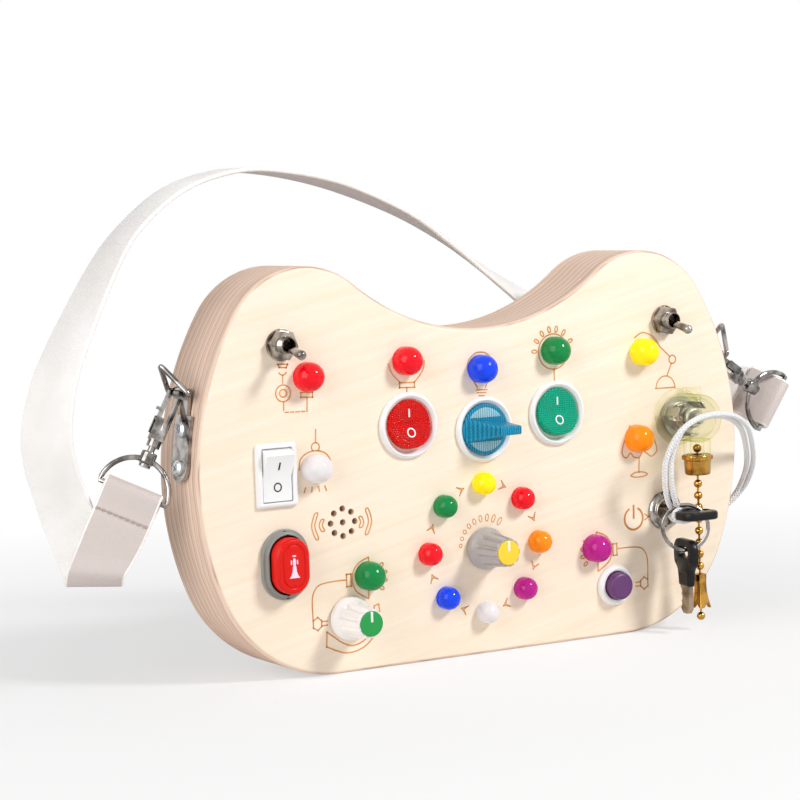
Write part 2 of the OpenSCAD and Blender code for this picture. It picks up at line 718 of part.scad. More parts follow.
// A fluted knob with a skirt; its inner hollow clears the nut
module knob() difference() {
    union() {
        translate([0, 0, knob_base]) cylinder(r = skirt_r, h = 2, $fn = 64);
        translate([0, 0, knob_base + 2]) cylinder(r1 = skirt_r, r2 = skirt_r - 1.2, h = 1.2, $fn = 64);
        translate([0, 0, 3]) cylinder(r1 = knob_top_r + 1.2, r2 = knob_top_r, h = knob_h - 3.6, $fn = 64);
    }
    for (i = [0:9]) rotate(36 * i + 18) translate([knob_top_r + 2.35, 0, 4.2])
        rotate([0, -atan2(1.2, knob_h - 4), 0]) cylinder(r = 1.5, h = knob_h, $fn = 24);
    translate([0, 0, -1]) cylinder(r = 6, h = 4.3);
    translate([0, 0, 1]) cylinder(r = shaft_r + 0.02, h = knob_h - 3.5);
    translate([0, 0, knob_h - 1.6]) cylinder(r = cap_r + seat_gap, h = 4);
}

cap_r = 4.3;

module knob_cap() {
    translate([0, 0, knob_h - 1.6]) difference() {
        cylinder(r = cap_r, h = 1.6, $fn = 64);
        translate([-0.45, 0.6, 1.2]) cube([0.9, cap_r, 1]);
    }
    translate([-0.4, 0.6, knob_h - 0.6]) cube([0.8, cap_r - 0.8, 0.6]);
}

module knob_white() color("#F2F0EE") on_face(knob_white_at) knob();
module knob_white_cap() color("#0E9A3C") on_face(knob_white_at) knob_cap();
module knob_grey() color("#B4B6BC") on_face(knob_grey_at) knob();
module knob_grey_cap() color("#F8D030") on_face(knob_grey_at) knob_cap();

// ---------------------------------------------------------------- lock and keys

lock_body_r = lock_flange_r - 1.3;
plug_face = 3;
key_slot_w = blade_w + 0.2;
head_base = 8;
pocket_d = 1.3;

module lock_housing() color("#B9B7B4") on_face(lock_at) rotate_extrude($fn = 64)
    polygon([[plug_r + run_gap, -16], [lock_body_r, -16], [lock_body_r, 0],
        [lock_flange_r, 0], [lock_flange_r, 0.8], [lock_flange_r - 0.8, 1.8],
        [lock_flange_r - 1.8, 1.8], [lock_flange_r - 2.1, plug_face], [plug_r + run_gap, plug_face]]);

module lock_plug() color("#A9A7A4") on_face(lock_at) difference() {
    translate([0, 0, -18]) cylinder(r = plug_r, h = 18 + plug_face);
    translate([-key_slot_w / 2, -blade_t / 2 - 0.1, -13])
        cube([key_slot_w, blade_t + 0.2, 20]);
}

// Key blade along z from its tip z0 to z1, its width along x; teeth on one edge
module key_blade(z0, z1) difference() {
    translate([-blade_w / 2, -blade_t / 2, z0]) cube([blade_w, blade_t, z1 - z0]);
    for (i = [0:2]) translate([blade_w / 2 + 0.4, 0, z0 + 3.2 + 2.4 * i]) rotate([90, 0, 0])
        cylinder(r = 1.3 + 0.25 * (i % 2), h = 5, center = true, $fn = 24);
    for (s = [-1, 1]) translate([s * blade_w / 2, 0, z0]) rotate([0, 45, 0])
        cube([2.4, 5, 2.4], center = true);
}

// Plastic head from z0 outwards, with a slot for the ring
module key_head(z0, slot, slot_l) difference() {
    rotate([90, 0, 0]) translate([0, 0, -head_t / 2]) linear_extrude(head_t) polygon([
        [-head_w * 0.23, z0], [head_w * 0.23, z0], [head_w * 0.3, z0 + 0.34 * head_l],
        [head_w / 2, z0 + 0.5 * head_l], [head_w / 2, z0 + 0.85 * head_l],
        [head_w * 0.36, z0 + head_l], [-head_w * 0.36, z0 + head_l],
        [-head_w / 2, z0 + 0.85 * head_l], [-head_w / 2, z0 + 0.5 * head_l],
        [-head_w * 0.3, z0 + 0.34 * head_l]]);
    translate([-blade_w / 2 - 0.02, -blade_t / 2 - 0.02, z0 - 1])
        cube([blade_w + 0.04, blade_t + 0.04, 1 + pocket_d]);
    translate([slot.x, 0, z0 + slot.y]) rotate([90, 0, 0]) translate([0, 0, -head_t])
        linear_extrude(2 * head_t) rotate(90) stadium(slot_l, 3.8);
}

module lock_key() color("#C2B8A8") on_face(lock_at) key_blade(-12, head_base + pocket_d);
module lock_key_head() color("#1C1C1E") on_face(lock_at) key_head(head_base, [3.6, 10.3], 5.4);

// The ring hangs through the head's slot and round the left side of its neck
ring_turn = 30;
ring_wire_r = 0.7;
ring_mid = [lock_at.x - 1.7, face_y - head_base - 7.1, lock_at.y + head_t / 2 + free_gap - 6.5];

module key_ring() color("#BDBBB8") translate(ring_mid) rotate([0, 0, -ring_turn])
    rotate([90, 0, 0]) rotate_extrude($fn = 64) translate([key_ring_r, 0]) circle(ring_wire_r, $fn = 24);

// The spare key hangs on the ring by a slot near its head's far end
spare_turn = 80;
spare_slot = head_l - 4.6;

module spare_frame() translate(ring_mid - [0, 0, key_ring_r + 0.65 + spare_slot])
    rotate([0, 0, spare_turn]) children();

module spare_key() color("#C2B8A8") spare_frame() key_blade(-10, pocket_d);
module spare_key_head() color("#1C1C1E") spare_frame() key_head(0, [0, spare_slot], 8);

// Key cord: two strands from the knot on the key, over the clear switch and
// round the right side into the ring's hole. Points are [x, y, z].
CORD = [[77.3, -26, 46.9], [74.5, -27.5, 51.5], [68.5, -32, 57.5], [65.5, -35, 66], [69, -38, 75],
        [77, -38.5, 79], [89, -37.2, 79], [102, -30.5, 74], [113, -20, 65], [120, -11, 56],
        [122, -3, 47], [117, 1, 40], [111, 2, 38], [105, 2, 38]];
strand_step = 1.3;

module strand(s) {
    p = smooth(CORD, 2);
    tube([for (i = [0:len(p) - 1])
        let (t = tangent(p, i), side = unit(cross(t, [0, 0.35, 1])))
        p[i] + s * strand_step * side], cord_d / 2);
}

module key_cord() color("#F6F6F6") for (s = [-1, 1]) strand(s);

// ---------------------------------------------------------------- pull switch

flange_h = 2;
flange_r = 10.3;
clear_wall = 1.2;
neck_z = 12;
neck_r = 4.9;
neck_end = 13.2;
collar_end = 20.5;
collar_bore_r = 2.2;
pull_stub_r = 4;

// Clear housing: a flange on the face, a domed drum and a neck that points down
module pull_switch_housing() color("#D8DCC0", 0.45) on_face(pull_at) difference() {
    union() {
        cylinder(r = flange_r, h = flange_h, $fn = 64);
        cube([flange_r, flange_r, flange_h]);
        cylinder(r = drum_r, h = drum_h - 3, $fn = 64);
        translate([0, 0, drum_h - 3.001]) cylinder(r1 = drum_r, r2 = drum_r - 2.4, h = 3.001, $fn = 64);
        translate([0, 0, neck_z]) rotate([90, 0, 0]) cylinder(r = neck_r, h = neck_end);
        translate([0, 0, -8]) cylinder(r = pull_stub_r, h = 9);
    }
    translate([0, 0, 1]) cylinder(r = drum_r - clear_wall, h = drum_h - 1 - clear_wall - 3, $fn = 64);
    translate([0, 0, neck_z]) rotate([90, 0, 0]) cylinder(r = collar_bore_r + 0.4, h = neck_end + 1);
}

// Works seen through the housing: a base disc, a cam wheel, contacts, a spring
module pull_switch_works() color("#8C8A80") on_face(pull_at) {
    translate([0, 0, 1]) {
        cylinder(r = drum_r - clear_wall - 0.05, h = 1.4, $fn = 64);
        cylinder(r = 1.2, h = 8.5);
        translate([0, 0, 1.3]) cylinder(r = 5.4, h = 1.4);
        translate([0, 0, 2.6]) for (i = [0:7]) rotate(45 * i) translate([3.4, -0.5, 0]) cube([1.6, 1, 2]);
        translate([0, 0, 6]) difference() {
            cylinder(r = 3.6, h = 1.2);
            translate([0, 0, -1]) cylinder(r = 2.6, h = 4);
        }
        translate([-3.2, -0.4, 6]) cube([6.4, 0.8, 1.2]);
        for (a = [40, 160, 280]) rotate(a) translate([6, -0.9, 1.3]) cube([0.5, 1.8, 6]);
    }
}

module pull_switch_collar() color("#B8863C") on_face(pull_at) translate([0, 0, neck_z])
    rotate([90, 0, 0]) difference() {
        union() {
            translate([0, 0, neck_end]) cylinder(r = collar_r, h = collar_end - neck_end);
            for (i = [0:23]) rotate(15 * i) translate([collar_r - 0.1, 0, neck_end + 0.6])
                cylinder(r = 0.4, h = 1.4, $fn = 12);
        }
        cylinder(r = collar_bore_r, h = 40);
    }

bead_count = 12;
chain_top = pull_at.y - 11;
chain_at = [pull_at.x, face_y - neck_z];

module chain_frame() translate([chain_at.x, chain_at.y, 0]) children();

module pull_chain() color("#C8A050") chain_frame() {
    for (i = [0:bead_count - 1]) translate([0, 0, chain_top - i * bead_pitch])
        sphere(r = bead_r, $fn = 32);
    translate([0, 0, chain_top - (bead_count - 1) * bead_pitch])
        cylinder(r = 0.4, h = (bead_count - 1) * bead_pitch, $fn = 16);
}

// Bell pendant under the last bead, with a bead below
pend_top = chain_top - (bead_count - 1) * bead_pitch + 0.9;

module chain_pendant() color("#B8863C") chain_frame() {
    translate([0, 0, pend_top - 15]) sphere(r = bead_r, $fn = 32);
    translate([0, 0, pend_top - 15]) cylinder(r = 0.4, h = 11.4, $fn = 16);
    difference() {
        translate([0, 0, pend_top]) rotate_extrude($fn = 48) polygon([[1.5, 0.6], [2.2, 0.6],
            [2.3, -3.2], [2.5, -6], [3.2, -9.4], [3.9, -11.5], [3.3, -11.5],
            [2.6, -9.2], [1.9, -6], [0.5, -4], [0.5, -3.2], [1.95, -2.4], [1.95, -0.2]]);
        for (i = [0:2]) rotate(60 * i) translate([-6, -0.7, pend_top - 13]) cube([12, 1.4, 3.4]);
    }
}

// ---------------------------------------------------------------- side plates

plate_t = 1.2;
plate_mid_z = 83;
plate_y = -4;
eye_w = 5.2;
eye_bore_r = wire_r + 0.15;
eye_r = eye_bore_r + 0.9;
eye_up = plate_l / 2 + 1.2;
eye_out = eye_r + 0.75;

side_a = asin((plate_mid_z - side_z) / side_r);
plate_at = [side_x + side_r * cos(side_a), plate_y, plate_mid_z];

// Frame on the board's side: x up along the plate, y along Y, z out of the side
module side_frame(s) mirror([s < 0 ? 1 : 0, 0, 0]) translate(plate_at)
    rotate([0, 90 - side_a, 0]) rotate([0, 0, 180]) children();

module side_plate() difference() {
    union() {
        linear_extrude(plate_t) {
            translate([-plate_l / 2 + plate_w / 2, 0]) circle(plate_w / 2);
            translate([-plate_l / 2 + plate_w / 2, -plate_w / 2]) square([plate_l - plate_w, plate_w]);
            translate([plate_l / 2 - plate_w / 2 - 1, -eye_w / 2]) square([plate_w / 2 + 1.6, eye_w]);
        }
        translate([eye_up - eye_r, -eye_w / 2, 0]) cube([2 * eye_r, eye_w, eye_out]);
        translate([eye_up, 0, eye_out]) rotate([90, 0, 0]) cylinder(r = eye_r, h = eye_w, center = true);
    }
    translate([eye_up, 0, eye_out]) rotate([90, 0, 0]) cylinder(r = eye_bore_r, h = 20, center = true);
    for (h = plate_screw_at) translate([h, 0, -1]) cylinder(r = 1.3 + seat_gap, h = 4);
}

module strap_plates() color("#8E8C8A") for (s = [-1, 1]) side_frame(s) side_plate();

// Middle of the eye on the right side
eye_at = plate_at + eye_out * [cos(side_a), 0, sin(side_a)] + eye_up * [-sin(side_a), 0, cos(side_a)];

// ---------------------------------------------------------------- rings and hooks

ring_ends = [-7, 9.4];
ring_tip = [1, 12];
ring_lean = [34, 20];

module wire(a, b, r) {
    d = b - a;
    translate(a) rotate([0, acos(d.z / norm(d)), atan2(d.y, d.x)]) cylinder(r = r, h = norm(d), $fn = 24);
    translate(a) sphere(r = r + 0.08, $fn = 24);
}

// Triangular wire ring with its base in the plate's eye
module plate_ring(lean) rotate([0, lean, 0]) {
    corners = [[0, ring_ends[0], 0], [0, ring_ends[1], 0], [0, ring_tip[0], ring_tip[1]]];
    for (i = [0:2]) wire(corners[i], corners[(i + 1) % 3], wire_r);
}

module at_eye(s) mirror([s < 0 ? 1 : 0, 0, 0]) translate(eye_at) children();

module plate_ring_left() color("#A8A6A2") at_eye(-1) plate_ring(ring_lean[0]);
module plate_ring_right() color("#A8A6A2") at_eye(1) plate_ring(ring_lean[1]);

// Snap hook: hangs on the ring's base; -z runs along the hook to the strap
hook_y = 4.1;
hook_t = 2;
mouth_r = wire_r + 0.45;
hook_bar = 1.2;
leg_l = 13;
nose_l = 3;
hook_l = 21;
swivel_r = 1.2;
chain_lean = [28, 55];
dring_turn = [-60, 90];
mouth_z = wire_r + 0.05 - mouth_r;
hook_r = mouth_r + hook_bar;

module at_hook(s) at_eye(s) translate([0, hook_y, 0])
    rotate([0, -chain_lean[s < 0 ? 0 : 1], 0]) children();

// A flat piece of thickness t drawn in the x-z plane
module cheek(t) rotate([90, 0, 0]) translate([0, 0, -t / 2]) linear_extrude(t) children();

module snap_hook() {
    foot_z = mouth_z - leg_l;
    cheek(hook_t) difference() {
        union() {
            translate([0, mouth_z]) circle(hook_r);
            translate([-hook_r, foot_z - 4]) square([2 * hook_r, leg_l + 4]);
        }
        translate([0, mouth_z]) circle(mouth_r);
        translate([-mouth_r, foot_z]) square([2 * mouth_r, leg_l]);
        translate([mouth_r - 0.1, foot_z + 1.9]) square([5, leg_l - nose_l - 1.9]);
    }
    // cheeks that hold the gate's pin
    difference() {
        for (y = [-1.1, 1.1]) translate([0, y, 0]) cheek(0.8) difference() {
            translate([hook_r - 2.1, foot_z - 2]) square([2.6, 6]);
            translate([gate_at.x, gate_at.y]) circle(0.62, $fn = 32);
        }
    }
    translate([0, 0, foot_z - 6.2]) cylinder(r = 2.3, h = 2.6);
    translate([0, 0, -hook_l - 5.7]) cylinder(r = swivel_r, h = 5.7 + hook_l + foot_z - 5);
    translate([0, 0, -hook_l - 5.7]) cylinder(r = 2, h = 0.9);
}

// Sprung gate that closes the mouth; it turns about a pin at its lower end
gate_at = [mouth_r + 0.9, mouth_z - leg_l + 3];
gate_l = leg_l - nose_l - 3.2;

module hook_gate() translate([gate_at.x, 0, gate_at.y]) {
    translate([-0.75, -0.6, 0.3]) cube([1.3, 1.2, gate_l - 0.3]);
    rotate([90, 0, 0]) cylinder(r = 0.55, h = 3, center = true, $fn = 32);
    rotate([90, 0, 0]) cylinder(r = 0.85, h = 1.2, center = true, $fn = 32);
    translate([0.5, -0.6, 3]) cube([1.4, 1.2, 1]);
}

module snap_hook_left() color("#B4B2AE") at_hook(-1) snap_hook();
module snap_hook_right() color("#B4B2AE") at_hook(1) snap_hook();
module hook_gate_left() color("#9C9A96") at_hook(-1) hook_gate();
module hook_gate_right() color("#9C9A96") at_hook(1) hook_gate();

// D-ring with the swivel eye that the hook's pin turns in; its bar at -chain_l
dring_half = dring_w / 2 + wire_r;

module d_ring(turn) rotate([0, 0, turn]) difference() {
    union() {
        translate([0, 0, -chain_l]) rotate([0, 90, 0]) rotate([0, 0, 90])
            rotate_extrude(angle = 180, $fn = 64) translate([dring_half, 0]) circle(wire_r, $fn = 32);
        translate([0, -dring_half, -chain_l]) rotate([-90, 0, 0])
            cylinder(r = wire_r + 0.05, h = 2 * dring_half, $fn = 32);
        for (s = [-1, 1]) translate([0, s * dring_half, -chain_l]) sphere(r = wire_r + 0.25, $fn = 32);
        translate([0, 0, -hook_l - 4.6]) cylinder(r = 2.7, h = 4.2);
    }
    translate([0, 0, -hook_l - 9]) cylinder(r = swivel_r + run_gap, h = 12);
}

module d_ring_left() color("#A8A6A2") at_hook(-1) d_ring(dring_turn[0]);
module d_ring_right() color("#A8A6A2") at_hook(1) d_ring(dring_turn[1]);

// ---------------------------------------------------------------- strap

// Axis of the hook, direction of the D-ring's bar and middle of that bar
function hook_axis(s) = let (a = chain_lean[s < 0 ? 0 : 1]) [s * sin(a), 0, -cos(a)];
function bar_dir(s) = let (a = chain_lean[s < 0 ? 0 : 1], t = dring_turn[s < 0 ? 0 : 1])
    [-s * sin(t) * cos(a), cos(t), -sin(t) * sin(a)];
function bar_mid(s) = [s * eye_at.x, eye_at.y + hook_y, eye_at.z] + chain_l * hook_axis(s);

// Folded end of the strap: along the bar's far side, round it and back.
// away = direction of the strap from the bar, n = side that the lap lies on.
wrap_r = wire_r + 0.3 + strap_t / 2;
lap_r = strap_t / 2 + 0.15;
lap_l = 13;
function folded_end(s, away, n) = [for (q = [[lap_l, lap_r], [lap_l * 0.65, lap_r],
    [6, lap_r + 0.15], [3, 0.8 * wrap_r], [0, wrap_r], [-0.71 * wrap_r, 0.71 * wrap_r],
    [-wrap_r, 0], [-0.71 * wrap_r, -0.71 * wrap_r], [0, -wrap_r], [3, -0.8 * wrap_r],
    [6, -lap_r - 0.15], [lap_l * 0.65, -lap_r], [lap_l, -lap_r]])
    bar_mid(s) + q[0] * away + q[1] * n];

// The strap's way from the left fold over the back of the board to the right
// one: [x, y, z] and the direction of its width, [x, y, z]
WAY = [
    [[-138, 2, 45.5], [-0.77, 0.5, 0.4]], [[-145.5, 4, 37], [-0.7, 0.64, 0.3]],
    [[-152, 7, 46], [-0.5, 0.82, 0.2]], [[-155, 9, 60], [-0.28, 0.95, 0.1]],
    [[-155.5, 10, 78], [0, 1, 0]], [[-153, 10, 97], [0, 1, 0]], [[-146, 10, 114], [0, 1, 0]],
    [[-131, 10, 140], [0, 1, 0]], [[-120, 10, 154], [0, 1, 0]], [[-103, 11, 166], [0, 1, 0]],
    [[-83, 12, 171.5], [0, 1, 0]], [[-64, 14, 171], [0, 1, 0]], [[-37, 20, 166], [0, 1, 0]],
    [[-7, 28, 156], [0, 1, 0.1]], [[14, 32, 145], [0, 1, 0.3]], [[36, 35, 131], [-0.05, 0.9, 0.5]],
    [[60, 35, 115], [-0.2, 0.6, 0.8]], [[85, 33, 101], [-0.35, 0.3, 0.9]],
    [[107, 27, 91], [-0.45, 0.1, 0.88]], [[124, 16, 84], [-0.55, 0, 0.83]]
];

left_w = -bar_dir(-1);
right_w = -bar_dir(1);
right_away = unit(-0.756 * hook_axis(1) + 0.655 * [0, 1, 0]);
left_n = cross(-left_w, hook_axis(-1));
right_n = cross(right_w, right_away);

strap_mid = smooth(concat(folded_end(-1, hook_axis(-1), left_n), [for (w = WAY) w[0]],
    [for (i = [12:-1:0]) folded_end(1, right_away, right_n)[i]]), 2);
strap_side = smooth(concat([for (i = [0:12]) left_w], [for (w = WAY) w[1]],
    [for (i = [0:12]) right_w]), 2);

module strap() color("#F0ECE8") skin([for (i = [len(strap_mid) - 1:-1:0])
    let (t = tangent(strap_mid, i), side = unit(strap_side[i] - (strap_side[i] * t) * t),
         up = cross(t, side), p = strap_mid[i], a = strap_w / 2, b = strap_t / 2)
    [for (q = [[a, -b * 0.4], [a, b * 0.4], [a - 0.4, b], [-a + 0.4, b], [-a, b * 0.4],
               [-a, -b * 0.4], [-a + 0.4, -b], [a - 0.4, -b]]) p + q[0] * side + q[1] * up]]);

// ---------------------------------------------------------------- drawing

front_panel();
frame_ring();
back_panel();
wood_screws();
battery_tray();
battery_cells();
battery_door();
circuit_board();
speaker();
led_red();
led_blue();
led_green();
led_yellow();
led_orange();
led_magenta();
led_white();
toggle_bodies();
toggle_nuts();
toggle_lever_left();
toggle_lever_right();
round_housings();
rocker_cap_red();
rocker_cap_green();
rotary_knob();
white_rocker_housing();
white_rocker_cap();
horn_housing();
horn_button();
push_housing();
push_cap();
pot_bodies();
knob_white();
knob_white_cap();
pot_shaft_white();
knob_grey();
knob_grey_cap();
pot_shaft_grey();
lock_housing();
lock_plug();
lock_key();
lock_key_head();
key_ring();
spare_key();
spare_key_head();
key_cord();
pull_switch_housing();
pull_switch_works();
pull_switch_collar();
pull_chain();
chain_pendant();
strap_plates();
plate_ring_left();
plate_ring_right();
snap_hook_left();
snap_hook_right();
hook_gate_left();
hook_gate_right();
d_ring_left();
d_ring_right();
strap();
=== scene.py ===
"""Looks of a wooden busy board: a plywood box with switches, lamps and knobs.

All sizes in this file are in millimetres and are turned to metres when a
piece is finished. X runs right along the face, Y away from the viewer and
Z up. The board's front face lies at Y = -15. A control is drawn in its own
frame, with x right, y up and z out of the face.
"""

from __future__ import annotations

import logging
import math
from collections.abc import Iterable, Mapping, Sequence
from dataclasses import dataclass, field, replace
from enum import Enum

import bmesh
import bpy
from bmesh.types import BMesh
from mathutils import Matrix, Vector

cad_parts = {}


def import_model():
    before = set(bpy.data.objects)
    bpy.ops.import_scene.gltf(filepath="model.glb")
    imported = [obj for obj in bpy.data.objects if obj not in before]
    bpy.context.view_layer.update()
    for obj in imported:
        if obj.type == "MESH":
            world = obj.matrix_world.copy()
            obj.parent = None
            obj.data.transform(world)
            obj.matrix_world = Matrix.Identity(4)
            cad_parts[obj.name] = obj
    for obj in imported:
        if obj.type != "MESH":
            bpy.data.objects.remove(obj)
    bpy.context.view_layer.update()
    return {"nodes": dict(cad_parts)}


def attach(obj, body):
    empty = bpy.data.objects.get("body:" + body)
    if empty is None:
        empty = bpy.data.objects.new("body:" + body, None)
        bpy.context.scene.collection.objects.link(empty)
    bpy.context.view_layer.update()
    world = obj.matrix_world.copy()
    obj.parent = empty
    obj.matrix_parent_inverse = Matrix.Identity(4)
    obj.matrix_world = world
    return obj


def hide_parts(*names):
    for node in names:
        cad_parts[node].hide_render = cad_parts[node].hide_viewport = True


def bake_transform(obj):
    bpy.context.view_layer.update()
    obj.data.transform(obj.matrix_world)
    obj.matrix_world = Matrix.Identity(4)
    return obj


log = logging.getLogger("busy_board")

FACE_Y = -15.0
BACK_Y = 15.0
SIGN_Y = FACE_Y - 0.02  # Middle of the burnt lines
MM = 0.001  # Metres in a millimetre
SIDES = ((-1, "left"), (1, "right"))
BOARD_MIDDLE = Vector((0, 0, 0.07))  # In metres, for the lights
FULL_WHITE = (1, 1, 1, 1)
Point = tuple[float, float, float]
Profile = list[tuple[float, float]]
Socket = bpy.types.NodeSocket
Inputs = dict[str | int, object]
Edge = bmesh.types.BMEdge


# ------------------------------------------------------------------ colours


class Hue(Enum):
    """Colours of the object as sRGB hex values."""

    BIRCH = "#F3E2CD"
    BIRCH_DARK = "#EDDABF"
    BIRCH_PALE = "#F7EAD8"
    PLY_PALE = "#EACDB8"
    PLY_DARK = "#B98F78"
    PLY_MIDDLE = "#EFD6C2"
    PLY_SHADE = "#DBB9A3"
    BURNT = "#D9995A"
    BURNT_DARK = "#C07A38"
    WHITE = "#ECECEC"
    IVORY = "#EFEDEB"
    LAMP_RED = "#E6041A"
    LAMP_BLUE = "#0840E2"
    LAMP_GREEN = "#02803E"
    LAMP_YELLOW = "#FFE400"
    LAMP_ORANGE = "#FA8800"
    LAMP_MAGENTA = "#B01282"
    LAMP_WHITE = "#DDD8D8"
    CAP_RED = "#DC0C06"
    CAP_GREEN = "#00A682"
    POCKET = "#A6D6E4"
    KNOB_BLUE = "#1E98C0"
    GREY = "#8C8A86"
    HORN_RED = "#DA140C"
    LILAC = "#E8D4E8"
    PURPLE = "#5E2F68"
    SILVER = "#ACA8A6"
    DIAL_GREEN = "#0C9440"
    DIAL_YELLOW = "#F6CC2C"
    BLACK = "#161618"
    INK = "#232326"
    CREAM = "#FAF7F4"
    CREAM_DARK = "#F0EBE7"
    # Painted shade: the greyish colour of the strap's back side
    CREAM_BACK = "#CBBFBA"
    THREAD = "#A99D95"
    CORD = "#F5F5F5"
    CORD_SHADE = "#D2D2D4"
    # Each metal's darker second hue is a painted reflection
    STEEL = "#B4B0AB"
    STEEL_DARK = "#6A6562"
    NICKEL = "#B5AA9E"
    NICKEL_DARK = "#62584F"
    BRASS = "#C99A4A"
    BRASS_DARK = "#8C6228"
    KEY_DARK = "#665646"
    KEY_METAL = "#AF9C88"
    CLEAR_THIN = "#FDFEF8"
    CLEAR_THICK = "#E6EBBE"
    OLIVE = "#B4BE68"
    BOARD_GREEN = "#2F7D4F"
    SLEEVE = "#6E7B8A"

    @property
    def rgba(self) -> tuple[float, float, float, float]:
        """The colour as linear red, green, blue and alpha."""
        parts = (int(self.value[i : i + 2], 16) / 255 for i in (1, 3, 5))
        r, g, b = (c / 12.92 if c <= 0.04045 else ((c + 0.055) / 1.055) ** 2.4 for c in parts)
        return (r, g, b, 1.0)


# ------------------------------------------------------------------ materials


class Shading:
    """Shader nodes of one material or world, linked as they are added.

    Attributes:
        owner: Material or world that holds the nodes.
        tree: Its node tree.
    """

    def __init__(self, owner: bpy.types.Material | bpy.types.World) -> None:
        """Empties the owner's node tree."""
        owner.use_nodes = True
        self.owner, self.tree = owner, owner.node_tree
        self.tree.nodes.clear()

    def feed(self, node: bpy.types.Node, inputs: Inputs) -> None:
        """Links each input that is given a socket, and sets the others' values."""
        for key, value in inputs.items():
            if isinstance(value, Socket):
                self.tree.links.new(value, node.inputs[key])
            else:
                node.inputs[key].default_value = value

    def add(
        self, kind: str, inputs: Inputs | None = None, output: str | int = 0, **settings: object
    ) -> Socket:
        """Adds one node.

        Args:
            kind: Blender's name of the node type after "ShaderNode".
            inputs: Value, or output socket to link, for each input.
            output: Output that is returned.
            settings: Attributes to set on the node.

        Returns:
            The node's output socket.
        """
        node = self.tree.nodes.new(f"ShaderNode{kind}")
        for key, value in settings.items():
            setattr(node, key, value)
        self.feed(node, inputs or {})
        return node.outputs[output]

    def math(self, operation: str, *values: float | Socket) -> Socket:
        """Adds one step of arithmetic."""
        return self.add("Math", dict(enumerate(values)), operation=operation)

    def noise(self, at: Socket, scale: float, detail: float, distortion: float = 0.0) -> Socket:
        """Adds a noise texture."""
        values = {"Vector": at, "Scale": scale, "Detail": detail, "Distortion": distortion}
        return self.add("TexNoise", values)

    def spread(
        self, value: Socket, low: float, high: float, to_low: float = 0.0, to_high: float = 1.0
    ) -> Socket:
        """Moves the range from low to high to the range from to_low to to_high."""
        ends = {"From Min": low, "From Max": high, "To Min": to_low, "To Max": to_high}
        return self.add("MapRange", {"Value": value} | ends)

    def mixed(self, share: float | Socket, a: object, b: object, how: str = "MIX") -> Socket:
        """Mixes two colours."""
        return self.add("Mix", {0: share, 6: a, 7: b}, 2, data_type="RGBA", blend_type=how)

    def bump(self, strength: float, height_mm: float, height: Socket) -> Socket:
        """Normal of a skin with this height."""
        values = {"Strength": strength, "Distance": height_mm / 1000, "Height": height}
        return self.add("Bump", values)

    def axes(self, vector: Socket) -> Mapping[str, Socket]:
        """The X, Y and Z of a vector."""
        return self.add("SeparateXYZ", {"Vector": vector}).node.outputs

    def ramp(self, factor: Socket, stops: Sequence[tuple[float, Hue]]) -> Socket:
        """Colour ramp over a factor, from the position and hue of each stop."""
        colour = self.add("ValToRGB", {"Fac": factor}, "Color")
        elements = colour.node.color_ramp.elements
        while len(elements) < len(stops):
            elements.new(0.5)
        for element, (place, hue) in zip(elements, stops):
            element.position = place
            element.color = hue.rgba
        return colour

    def close(self, surface: Socket) -> None:
        """Links the finished surface to the output."""
        kind = "OutputWorld" if isinstance(self.owner, bpy.types.World) else "OutputMaterial"
        self.feed(self.tree.nodes.new(f"ShaderNode{kind}"), {"Surface": surface})


class Look:
    """Procedural material that is made once, under its own name."""

    name: str

    def surface(self, shading: Shading) -> Socket:
        """Adds the nodes of the surface and returns its shader."""
        raise NotImplementedError

    def build(self) -> bpy.types.Material:
        """Finds the material, or makes it the first time."""
        if self.name not in bpy.data.materials:
            shading = Shading(bpy.data.materials.new(self.name))
            shading.close(self.surface(shading))
        return bpy.data.materials[self.name]


@dataclass(frozen=True)
class Finish(Look):
    """A surface whose colour may drift a little, on metal as a painted reflection, and whose skin
    may be rough.

    Attributes:
        name: Name of the material.
        hue: Main colour.
        second: Colour that the main one drifts to, if any; on metal a painted dark reflection.
        roughness: Roughness of the shader.
        metallic: 1 for metal.
        ior: Index of refraction, for what isn't metal.
        subsurface: Share of light scattered inside.
        grain_mm: Size of the skin's grain.
        bump: Height of the grain in millimetres.
        painted_glow: Strength of a painted glow in the colour's own hue.
    """

    name: str
    hue: Hue
    second: Hue | None = None
    roughness: float = 0.4
    metallic: float = 0.0
    ior: float = 1.5
    subsurface: float = 0.0
    grain_mm: float = 0.8
    bump: float = 0.0
    painted_glow: float = 0.0

    def surface(self, shading: Shading) -> Socket:
        """Plain plastic or metal, with grain in its roughness."""
        coords = shading.add("TexCoord", output="Object")
        grain = shading.noise(coords, 1000 / self.grain_mm, 3.0)
        values = {
            "Base Color": self.hue.rgba, "Roughness": self.roughness, "Metallic": self.metallic,
            "Subsurface Weight": self.subsurface,
        }
        if self.subsurface:
            values["Subsurface Scale"] = 0.002
        if not self.metallic:
            values["IOR"] = self.ior
        # A painted glow, standing in for light that seems to pass through the part
        if self.painted_glow:
            values |= {"Emission Color": self.hue.rgba, "Emission Strength": self.painted_glow}
        shader = shading.add("BsdfPrincipled", values)
        links = {}
        if self.second:
            # On metal the drift is a painted reflection of dark surroundings, so it is finer and
            # sharper
            scale, low, high = (230.0, 0.4, 0.64) if self.metallic else (160.0, 0.35, 0.75)
            cloud = shading.noise(coords, scale, 2.0)
            links["Base Color"] = shading.ramp(cloud, [(low, self.hue), (high, self.second)])
        if self.bump:
            links["Normal"] = shading.bump(1.0, self.bump, grain)
        smoothest, roughest = max(self.roughness - 0.05, 0.02), self.roughness + 0.05
        links["Roughness"] = shading.spread(grain, 0.0, 1.0, smoothest, roughest)
        shading.feed(shader.node, links)
        return shader


